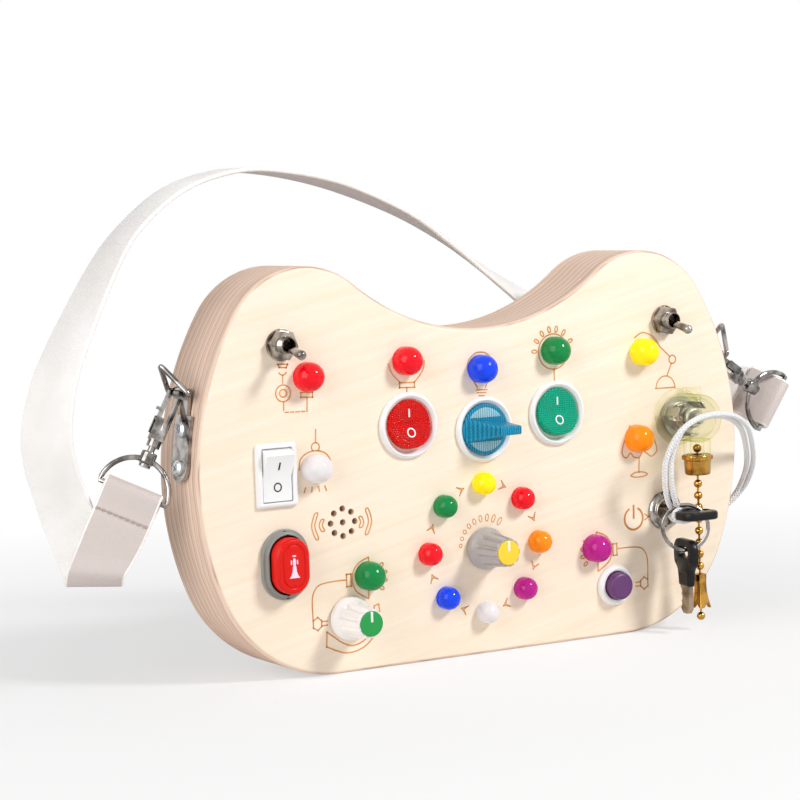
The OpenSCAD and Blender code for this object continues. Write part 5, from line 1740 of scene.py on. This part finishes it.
@dataclass(frozen=True)
class WhiteRocker:
    """White rectangular rocker with a black bar and ring.

    Attributes:
        at: Its place on the face.
        size: Width and height of the bezel.
        cap: Width and height of the cap.
        tilt: Slope of the cap's halves.
    """

    at: tuple[float, float] = (-82.3, 69.9)
    size: tuple[float, float] = (15.2, 21.5)
    cap: tuple[float, float] = (10.8, 16.0)
    tilt: float = 13.0

    def cap_mesh(self) -> BMesh:
        """Cap whose ends are arcs about its pivot, so that they sweep along the bezel."""
        half, valley, low = self.cap[1] / 2, 2.3, -3.5
        top = valley + half * math.tan(math.radians(self.tilt))
        reach = math.hypot(half, top)
        start, stop = math.atan2(top, half), math.asin(low / reach)
        end = arc(reach, start, stop, 8)
        side = [(0, valley), *end, *((-y, z) for y, z in reversed(end))]
        bm = plate(side[::-1], -self.cap[0] / 2, self.cap[0] / 2, 0.35)
        bm.transform(Matrix(((0, 0, 1, 0), (1, 0, 0, 0), (0, 1, 0, 0), (0, 0, 0, 1))))
        return bm

    def build(self) -> None:
        """Adds the bezel, the cap and its marks."""
        w, h = self.size
        inner = (self.cap[0] / 2 + 0.3, self.cap[1] / 2 + 1.1)
        body = (w / 2 - 1.1, h / 2 - 0.75)
        rings = [(*body, -14, 0.5), (*body, 0, 0.5), (w / 2, h / 2, 0, 1.1),
                 (w / 2, h / 2, 0.9, 1.1), (w / 2 - 0.25, h / 2 - 0.25, 1.4, 0.9),
                 (w / 2 - 0.8, h / 2 - 0.8, 1.8, 0.6), (inner[0] + 0.25, inner[1] + 0.25, 1.8, 0.5),
                 (*inner, 1.5, 0.4), (*inner, -7, 0.4)]
        bm = sleeve([(rounded_box(half_x, half_y, r), z) for half_x, half_y, z, r in rings])
        spade_tabs(bm, -14)
        bm.transform(face_place(*self.at))
        finish_piece("white_rocker_frame", bm, "board", WHITE_ABS,
                     ["white_rocker_housing"])
        place = (face_place(*self.at) @ Matrix.Translation((0, 0, -1))
                 @ rotation(self.tilt, "X"))
        bm = self.cap_mesh()
        merge(bm, block((self.size[0] - 2.8, 1.6, 1.6), (0, 0, 0), 0.3))
        bm.transform(place)
        finish_piece("white_rocker_tilting_cap", bm, "white_rocker", WHITE_ABS,
                     ["white_rocker_cap"])
        bm = bmesh.new()
        merge(bm, mark_on(), on_half(1, 4.0, 2.34, self.tilt))
        merge(bm, mark_off(1.3), on_half(-1, 3.4, 2.34, self.tilt))
        bm.transform(place)
        finish_piece("white_rocker_marks", bm, "white_rocker", BLACK_INK)


# ------------------------------------------------------------------ buttons


@dataclass(frozen=True)
class HornButton:
    """Grey stepped housing with a long red button that shows a horn.

    Attributes:
        at: Its place on the face.
        length: Length of the flange.
        width: Width of the flange.
        rise: Height of the button.
    """

    at: tuple[float, float] = (-80.4, 39.7)
    length: float = 24.0
    width: float = 17.5
    rise: float = 7.5

    def shell(self, profile: Profile) -> BMesh:
        """Closed sleeve of stadium outlines, each with an inset and a height."""
        return sleeve([(stadium(self.length - 2 * inset, self.width - 2 * inset, 24), z)
                       for inset, z in profile])

    def build(self) -> None:
        """Adds the housing, the button and the horn on it."""
        profile = [(1.5, -15), (1.5, -0.02), (0, -0.02), (0, 1.6), (1.2, 1.6), (1.2, 3.0),
                   (2.2, 3.0), (2.2, -9)]
        bm = self.shell(fillet(profile, 0.35, 3))
        bm.transform(face_place(*self.at))
        finish_piece("horn_stepped_housing", bm, "board", GREY_ABS,
                     ["horn_housing"])
        h = self.rise
        profile = [(2.5, -5.5), (2.5, h - 0.9), (3.3, h), (4.4, h), (4.6, h - 0.35),
                   (4.9, h - 0.35), (5.1, h), (6.0, h)]
        bm = self.shell(fillet(profile, 0.3, 3))
        heart = stadium(self.length - 11.2, self.width - 11.2, 16)
        merge(bm, plate(heart, h - 0.8, h + 0.04, 0.1))
        merge(bm, turned([(0, -11.2), (1.9, -11.2), (1.9, -5), (0, -5)], 24))
        bm.transform(face_place(*self.at))
        finish_piece("horn_red_cap", bm, "horn", HORN_ABS, ["horn_button"])
        bm = bmesh.new()
        low, high = h, h + 0.18
        bell = [(-3.1, -6.0), (3.1, -6.0), (2.0, -4.6), (1.25, -2.6), (0.95, 0.2), (-0.95, 0.2),
                (-1.25, -2.6), (-2.0, -4.6)]
        merge(bm, plate(bell, low, high, 0.05))
        merge(bm, plate(stadium(4.4, 1.5, 8), low, high, 0.05),
              Matrix.Translation((0, 2.2, 0)))
        for x, y, w, tall in ((-1.75, 2.3, 0.8, 2.2), (1.75, 2.3, 0.8, 2.2), (0, 5.6, 2.0, 0.9)):
            merge(bm, block((w, tall, 0.16), (x, y, h + 0.1), 0.05, 1))
        bm.transform(face_place(*self.at) @ Matrix.Diagonal((0.64, 0.64, 1, 1)))
        finish_piece("horn_sign", bm, "horn", LILAC_INK)


@dataclass(frozen=True)
class PushButton:
    """Purple push button in a white bezel.

    Attributes:
        at: Its place on the face.
        bezel_r: Radius of the bezel.
        cap_r: Radius of the cap.
        rise: Height of the cap.
    """

    at: tuple[float, float] = (54, 18.5)
    bezel_r: float = 7.4
    cap_r: float = 4.9
    rise: float = 5.4

    def build(self) -> None:
        """Adds the bezel and the cap."""
        r, well = self.bezel_r, self.cap_r + 0.3
        rim = fillet([(r - 1.5, -0.02), (r, -0.02), (r, 1.0), (r - 1.0, 2.0), (well + 0.3, 2.0),
                      (well, 1.7), (well, -8.6)], 0.25, 3)
        bm = turned([(0, -16), (r - 1.5, -16), *rim, (0, -8.6)], 80)
        bm.transform(face_place(*self.at))
        finish_piece("push_bezel", bm, "board", WHITE_ABS, ["push_housing"])
        top = fillet([(self.cap_r, -5.8), (self.cap_r, self.rise - 0.7),
                      (self.cap_r - 0.9, self.rise), (0, self.rise)], 0.5)
        bm = turned([(0, -11.3), (1.5, -11.3), (1.5, -5.8), *top], 80)
        bm.transform(face_place(*self.at))
        finish_piece("push_purple_cap", bm, "push", PURPLE_ABS, ["push_cap"])


@dataclass(frozen=True)
class DialKnob:
    """Fluted knob with a skirt, a coloured cap and a white pointer.

    Attributes:
        name: Word that its pieces and its body share.
        at: Its place on the face.
        look: Finish of the knob.
        cap_look: Finish of its cap.
        slots: Slots of the knob and of its cap; not used.
        height: Height of the knob.
        flutes: Number of flutes round it.
        sides: Points once round it.
    """

    name: str
    at: tuple[float, float]
    look: Finish
    cap_look: Finish
    slots: tuple[str, str]
    height: float = 16.0
    flutes: int = 10
    sides: int = 160

    def body(self) -> BMesh:
        """Knob with ten flutes and a hollow underside."""
        levels = ((7.4, 0.5, 0), (7.4, 2.3, 0), (7.2, 2.6, 0), (6.3, 3.75, 0), (6.2, 4.2, 0.0),
                  (6.12, 4.6, 0.55), (6.0, 5.6, 0.85), (5.45, 11, 0.85), (5.1, 14.6, 0.85),
                  (5.0, 15.1, 0.8), (4.75, 15.4, 0.6), (4.35, 15.4, 0.0), (4.35, 14.4, 0.0))
        hollow = ((0.6, 3.3, 0), (6.0, 3.3, 0), (6.0, 0.5, 0))
        bm = bmesh.new()
        bridge(bm, [edge_loop(bm, self.ring(*level)) for level in (*hollow, *levels)])
        bmesh.ops.recalc_face_normals(bm, faces=bm.faces)
        return bm

    def ring(self, r: float, z: float, cut: float) -> list[Point]:
        """Points once round the knob, cut in by the flutes."""
        points = []
        for k in range(self.sides):
            a = 2 * math.pi * k / self.sides
            reach = r - cut * max(math.cos(self.flutes * a + math.pi), 0.0) ** 0.8
            points.append((reach * math.cos(a), reach * math.sin(a), z))
        return points

    def build(self) -> None:
        """Adds the knob, its cap and the pointer."""
        colour = self.name.removeprefix("knob_")
        bm = self.body()
        bm.transform(face_place(*self.at))
        finish_piece(f"{self.name}_body", bm, self.name, self.look,
                     [f"knob_{colour}"], crease=45)
        h = self.height
        bm = turned(fillet([(0, h - 1.55), (4.28, h - 1.55), (4.28, h - 0.15), (4.1, h), (0, h)],
                           0.12, 2), 64)
        bm.transform(face_place(*self.at))
        finish_piece(f"{self.name}_top", bm, self.name, self.cap_look,
                     [f"knob_{colour}_cap"])
        bm = block((0.85, 3.5, 0.2), (0, 2.35, h), 0.08, 2)
        bm.transform(face_place(*self.at))
        finish_piece(f"{self.name}_pointer", bm, self.name, WHITE_INK)


@dataclass(frozen=True)
class Toggles:
    """Two toggle switches with a washer, a nut, a threaded bushing and a lever.

    Attributes:
        at: Place of the right one; the left one mirrors it.
        bushing_r: Radius of the bushing.
        bushing_h: Its height above the face.
        lever: Length of the lever from its pivot to its end.
        tilt: Lean of the levers at rest, down.
        thread: Pitch and depth of the bushing's thread.
    """

    at: tuple[float, float] = (78.8, 113.2)
    bushing_r: float = 3.0
    bushing_h: float = 6.5
    lever: float = 14.5
    tilt: float = 13.0
    thread: tuple[float, float] = (0.5, 0.22)

    def bushing(self) -> BMesh:
        """Bushing with its thread, on the switch's body."""
        r, h = self.bushing_r, self.bushing_h
        pitch, depth = self.thread
        profile = [(0, -6), (r, -6), (r, 2.6)]
        z = 2.9
        while z < h - pitch:
            profile += [(r, z), (r - depth, z + 0.4 * pitch), (r, z + 0.8 * pitch)]
            z += pitch
        profile += [(r - 0.25, h), (2.46, h), (2.3, h - 0.3), (2.3, 1.9), (0, 1.9)]
        bm = turned(profile, 48)
        merge(bm, block((8, 13, 9.9), (0, 0, -10.05), 0.5))
        for y in (-4, 0, 4):
            merge(bm, block((0.8, 2, 4), (0, y, -16.9), 0.1, 1))
        return bm

    def nut(self) -> BMesh:
        """Washer and hexagon nut with chamfered corners."""
        washer = [(3.05, 0), (5.4, 0), (5.4, 0.79), (3.05, 0.79), (3.05, 0)]
        bm = turned(fillet(washer, 0.15, 2), 64)
        nut = bmesh.new()
        bmesh.ops.create_cone(nut, cap_ends=True, segments=6, radius1=9.5 / math.sqrt(3),
                              radius2=9.5 / math.sqrt(3), depth=2.3)
        round_edges(nut, nut.edges[:], 0.28)
        merge(bm, nut, Matrix.Translation((0, 0, 1.95)) @ rotation(20, "Z"))
        return bm

    def build(self) -> None:
        """Adds the bodies, the nuts and both levers."""
        x, z = self.at
        bodies, nuts = bmesh.new(), bmesh.new()
        for s in (-1, 1):
            merge(bodies, self.bushing(), face_place(s * x, z))
            merge(nuts, self.nut(), face_place(s * x, z))
        finish_piece("toggle_bushings", bodies, "board", NICKEL,
                     ["toggle_bodies"])
        finish_piece("toggle_hex_nuts", nuts, "board", NICKEL, ["toggle_nuts"])
        end = self.lever
        tip = arc(1.7, 0, math.pi / 2, 10, 0, end - 1.7)
        stem = [(0, -2.4), (1.4, -2.0), (2.2, -0.8), (2.4, 0), (2.2, 0.9), (1.5, 1.8), (1.15, 2.4),
                (1.15, 4.4), (1.45, 10.2), (1.6, 12.2), *tip]
        for s, word in SIDES:
            bm = turned(stem, 48)
            bm.transform(face_place(s * x, z) @ Matrix.Translation((0, 0, self.bushing_h - 4.3))
                         @ rotation(self.tilt, "X"))
            finish_piece(f"toggle_bat_{word}", bm, f"toggle_{word}", CHROME,
                         [f"toggle_lever_{word}"])


# ------------------------------------------------------------------ lock and keys


@dataclass(frozen=True)
class KeyHead:
    """Black moulded key head with bevelled shoulders and a slot near its end.

    Attributes:
        base: Height of its foot along the key.
        slot: Middle of the slot: across, and along from the foot.
        slot_l: Length of the slot across the head.
        length: Length of the head.
        width: Greatest width.
        thick: Thickness.
    """

    base: float
    slot: tuple[float, float]
    slot_l: float
    length: float = 17.0
    width: float = 15.0
    thick: float = 3.0

    def mesh(self) -> BMesh:
        """Head with its slot cut through, its width along x and its length along z."""
        w, h, z = self.width, self.length, self.base
        right = [(0.23 * w, z), (0.3 * w, z + 0.34 * h), (0.5 * w, z + 0.5 * h),
                 (0.5 * w, z + 0.85 * h), (0.36 * w, z + h)]
        outer = fillet([*right, *((-x, y) for x, y in reversed(right))], 1.6, 4)
        sx, sz = self.slot
        hole = [(sx + y, z + sz + x) for x, y in stadium(self.slot_l, 3.8, 10)]
        half, soft = self.thick / 2, 0.7
        bm = bmesh.new()

        def ring(points: Profile, y: float, inset: float, middle: Vector) -> list[Edge]:
            """Adds points at y, drawn in by inset towards the middle."""
            at = []
            for p in points:
                away = Vector(p) - middle
                x, z = middle + away * (1 - inset / max(away.length, 0.1))
                at.append((x, y, z))
            return edge_loop(bm, at)

        heart = Vector((0, z + 0.55 * h))
        outside = [ring(outer, s, i, heart) for s, i in (
            (-half, soft), (-half + 0.25, 0.2), (-half + soft, 0), (half - soft, 0),
            (half - 0.25, 0.2), (half, soft))]
        inside = [ring(hole, s, i, Vector((sx, z + sz))) for s, i in (
            (-half, -0.3), (-half + 0.3, 0), (half - 0.3, 0), (half, -0.3))]
        for loops in (outside, inside):
            bridge(bm, loops, capped=False)
        for end in (0, -1):
            bmesh.ops.triangle_fill(bm, use_beauty=True, edges=outside[end] + inside[end])
        bmesh.ops.recalc_face_normals(bm, faces=bm.faces)
        return bm


@dataclass(frozen=True)
class LockAndKeys:
    """Chromed cam lock with its key, a split ring and a spare key.

    Attributes:
        at: Place of the lock.
        ring_mid: Middle of the split ring.
        ring_r: Radius of the ring.
        wire: Radius of its wire.
        coils: Turns of its wire.
        ring_turn: Turn of the ring about the vertical, in degrees.
        spare_turn: Turn of the spare key, in degrees.
    """

    at: tuple[float, float] = (77, 43.6)
    ring_mid: Point = (75.3, -30.1, 38.9)
    ring_r: float = 8.2
    wire: float = 0.7
    coils: float = 1.93
    ring_turn: float = 30
    spare_turn: float = 80

    def spare_place(self) -> Matrix:
        """Matrix of the spare key's frame."""
        x, y, z = self.ring_mid
        foot = z - self.ring_r - 0.65 - 12.4
        return (Matrix.Translation((x, y, foot))
                @ rotation(self.spare_turn, "Z"))

    def build(self) -> None:
        """Adds the flange, both key heads and the split ring."""
        rim = fillet([(5.8, -0.02), (7.1, -0.02), (7.1, 0.9), (6.2, 1.8), (5.5, 1.85), (5.1, 3.0),
                      (4.06, 3.0), (4.06, 2.6)], 0.3, 4)
        bm = turned([(5.8, -16), *rim, (4.06, -16), (5.8, -16)], 96)
        bm.transform(face_place(*self.at))
        finish_piece("lock_flange", bm, "board", CHROME, ["lock_housing"])
        bm = KeyHead(8.0, (3.6, 10.3), 5.4).mesh()
        bm.transform(face_place(*self.at))
        finish_piece("key_head", bm, "key", KEY_BLACK, ["lock_key_head"], crease=28)
        bm = KeyHead(0.0, (0, 12.4), 8.0).mesh()
        bm.transform(self.spare_place())
        finish_piece("spare_head", bm, "spare", KEY_BLACK, ["spare_key_head"],
                     crease=28)
        turn = rotation(-self.ring_turn, "Z")
        path = []
        steps, first, lead = 108, 0.9, 0.62
        for k in range(steps + 1):
            a = 2 * math.pi * self.coils * k / steps + first
            lift = lead * (k / steps - 0.5)
            path.append(turn @ Vector((self.ring_r * math.cos(a), lift, self.ring_r * math.sin(a)))
                        + Vector(self.ring_mid))
        bm = swept(path, [(1.25 * x, 0.5 * y) for x, y in circle(self.wire * 0.8, 12)],
                   [p - Vector(self.ring_mid) for p in path])
        finish_piece("split_ring", bm, "ring", CHROME, ["key_ring"], crease=50)


# ------------------------------------------------------------------ pull switch


@dataclass(frozen=True)
class PullSwitch:
    """Clear pull switch with its works showing, a brass collar, a bead chain and a bell.

    Attributes:
        at: Place of the switch.
        drum_r: Radius of the drum.
        drum_h: Height of the drum.
        neck_z: Height of the neck's middle line.
        bead_r: Radius of a bead.
        pitch: Distance between two beads.
        beads: Number of beads.
    """

    at: tuple[float, float] = (83.7, 77.7)
    drum_r: float = 8.7
    drum_h: float = 18.0
    neck_z: float = 12.0
    bead_r: float = 1.55
    pitch: float = 4.3
    beads: int = 12

    def housing(self) -> BMesh:
        """Clear shell: a flange with one square corner, a drum with a dome, a neck."""
        r, h = self.drum_r, self.drum_h
        outside = [(0, h), (r - 2.6, h), (r - 1.2, h - 0.9), (r, h - 3.2), (r, 2), (r + 1.3, 2),
                   (r + 1.6, 1.7), (r + 1.6, 0), (4, 0), (4, -8), (0, -8)]
        inside = [(0, 1.1), (r - 1.2, 1.1), (r - 1.2, h - 4.4), (r - 3.4, h - 1.3), (0, h - 1.3)]
        bm = turned(fillet(outside, 0.5, 4), 80)
        hollow = turned(inside, 80)
        bmesh.ops.reverse_faces(hollow, faces=hollow.faces)
        merge(bm, hollow)
        merge(bm, block((10.2, 10.2, 2), (5.2, 5.2, 1), 0.5))
        neck = turned([(2.6, 7.6), (4.9, 7.6), (4.9, 12.9), (4.6, 13.2), (2.6, 13.2), (2.6, 7.6)],
                      48)
        merge(bm, neck, Matrix.Translation((0, 0, self.neck_z)) @ rotation(90, "X"))
        return bm

    def works(self) -> None:
        """Adds the screw, the spring and the contacts that show through the shell."""
        bm = bmesh.new()
        for s in (-1, 1):
            path = [Vector((s * 5.6 + 0.75 * math.cos(a), 0.75 * math.sin(a), 3 + 7.6 * a / 34))
                    for a in (34 * k / 130 for k in range(131))]
            merge(bm, swept(path, circle(0.22, 6)))
        screw = turned(fillet([(0, 13.4), (2.1, 13.4), (2.1, 14.2), (1.5, 14.9), (0, 15)], 0.3), 32)
        merge(bm, screw)
        merge(bm, turned([(0, 2.4), (0.9, 2.4), (0.9, 13.5), (0, 13.5)], 24))
        for a in (40, 160, 280):
            tab = block((0.4, 3.2, 7.5), (6.6, 0, 6.2), 0.15, 2)
            merge(bm, tab, rotation(a, "Z"))
        bm.transform(face_place(*self.at))
        finish_piece("pull_switch_contacts", bm, "board", DULL_METAL)
        bm = bmesh.new()
        for a, z in ((100, 4.5), (220, 6.4), (340, 5.4)):
            arm = block((0.9, 4.6, 0.45), (4.4, 0, z), 0.15, 2)
            merge(bm, arm, rotation(a, "Z"))
        merge(bm, turned(fillet([(1, 9.4), (3.7, 9.4), (3.7, 10.6), (3.1, 11.2), (1, 11.2),
                                 (1, 9.4)], 0.25), 40))
        bm.transform(face_place(*self.at))
        finish_piece("pull_switch_cams", bm, "board", DULL_METAL)

    def collar(self) -> BMesh:
        """Brass collar: a knurled ring over a plain barrel that narrows a little."""
        profile = [(2.2, 13.2), (5.2, 13.2), (5.5, 13.5), (5.5, 14.9), (5.2, 15.2), (4.95, 15.3),
                   (4.6, 20.1), (4.3, 20.5), (2.2, 20.5), (2.2, 13.2)]
        bm = turned(fillet(profile, 0.2, 3), 72)
        for k in range(30):
            ridge = block((0.34, 0.5, 1.3), (5.45, 0, 14.2), 0.12, 1)
            merge(bm, ridge, rotation(360 * k / 30, "Z"))
        return bm

    def add_bead(self, bm: BMesh, at: Point) -> None:
        """Adds one bead."""
        bead = bmesh.new()
        bmesh.ops.create_icosphere(bead, subdivisions=3, radius=self.bead_r)
        merge(bm, bead, Matrix.Translation(at))

    def chain(self, x: float, y: float, top: float) -> BMesh:
        """Bead chain from its top bead down."""
        bm = bmesh.new()
        for k in range(self.beads):
            self.add_bead(bm, (x, y, top - k * self.pitch))
        low = top - (self.beads - 1) * self.pitch
        merge(bm, turned([(0, low), (0.4, low), (0.4, top), (0, top)], 16),
              Matrix.Translation((x, y, 0)))
        return bm

    def bell(self) -> BMesh:
        """Bell with six petals, in its own frame with its top at z = 0."""
        bm = bmesh.new()
        n = 96
        rings = ((0.5, -3.2, 0), (0.5, -0.2, 0), (1.1, 0.5, 0), (1.7, 0.6, 0), (2.2, 0.35, 0),
                 (2.3, -0.4, 0), (2.2, -3.0, 0.02), (2.45, -6.0, 0.08), (2.9, -8.2, 0.14),
                 (3.5, -10.4, 0.2), (3.95, -11.6, 0.25), (3.75, -11.7, 0.25), (3.2, -10.3, 0.2),
                 (2.5, -8.0, 0.12), (1.9, -5.6, 0.05), (0.6, -4.0, 0))
        loops = []
        for r, z, deep in rings:
            points = []
            for k in range(n):
                a = 2 * math.pi * k / n
                petal = abs(math.cos(3 * a))
                drop = 1.5 * deep / 0.25 * (1 - petal) ** 2 if deep else 0.0
                reach = r * (1 - deep * (1 - petal) * 0.8)
                points.append((reach * math.cos(a), reach * math.sin(a), z + drop))
            loops.append(edge_loop(bm, points))
        bridge(bm, loops, capped=False)
        bmesh.ops.bridge_loops(bm, edges=loops[0] + loops[-1])
        bmesh.ops.recalc_face_normals(bm, faces=bm.faces)
        self.add_bead(bm, (0, 0, -15))
        merge(bm, turned([(0, -15), (0.4, -15), (0.4, -3.5), (0, -3.5)], 16))
        return bm

    def build(self) -> None:
        """Adds the shell, the works, the collar, the chain and the bell."""
        bm = self.housing()
        bm.transform(face_place(*self.at))
        finish_piece("pull_switch_shell", bm, "board", CLEAR,
                     ["pull_switch_housing"])
        self.works()
        bm = self.collar()
        bm.transform(face_place(*self.at) @ Matrix.Translation((0, 0, self.neck_z))
                     @ rotation(90, "X"))
        finish_piece("pull_switch_knurled_collar", bm, "board", BRASS,
                     ["pull_switch_collar"])
        x, z = self.at
        y, top = FACE_Y - self.neck_z, z - 11
        finish_piece("bead_chain", self.chain(x, y, top), "chain", BRASS, ["pull_chain"])
        bm = self.bell()
        pend = top - (self.beads - 1) * self.pitch + 0.9
        bm.transform(Matrix.Translation((x, y, pend)))
        finish_piece("bell_pendant", bm, "pendant", BRASS, ["chain_pendant"], crease=50)


# ------------------------------------------------------------------ main


def dress_kept_nodes(nodes: dict[str, bpy.types.Object]) -> None:
    """Gives every CAD node its finish; those that a piece replaces are hidden anyway."""
    looks = {
        "wood_screws": SCREW_STEEL, "battery_tray": TRAY_BLACK, "battery_door": TRAY_BLACK,
        "battery_cells": SLEEVE, "circuit_board": PCB, "speaker": TRAY_BLACK,
        "pot_bodies": DULL_METAL, "pot_shaft_white": DULL_METAL, "pot_shaft_grey": DULL_METAL,
        "lock_plug": CHROME, "lock_key": KEY_METAL, "spare_key": KEY_METAL,
        "pull_switch_works": DULL_METAL, "strap_plates": CHROME, "snap_hook_left": CHROME,
        "snap_hook_right": CHROME, "hook_gate_left": CHROME, "hook_gate_right": CHROME,
    }
    for name, node in nodes.items():
        node.data.materials.clear()
        node.data.materials.append(looks.get(name, GREY_ABS).build())
    log.info("kept nodes: %d finishes", len(looks))


def main() -> None:
    """Builds the scene: camera and cords first, then each sub-assembly."""
    logging.basicConfig(level=logging.INFO, format="%(name)s: %(message)s")
    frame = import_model()
    PhotoCamera().build()
    KeyCord().build()
    Studio().build()
    dress_kept_nodes(frame["nodes"])
    for part in (
        Board(), BurntSigns(), Lamps(), Toggles(), RoundSwitches(), WhiteRocker(), HornButton(),
        PushButton(),
        DialKnob("knob_white", (-56.3, 18.8), IVORY_ABS, DIAL_GREEN,
                 ("knob_ivory", "cap_dial_green")),
        DialKnob("knob_grey", (-1, 37.3), SILVER_ABS, DIAL_YELLOW,
                 ("knob_silver", "cap_dial_yellow")),
        LockAndKeys(), PullSwitch(), Hardware(), Strap(),
    ):
        part.build()


if __name__ == "__main__":
    main()
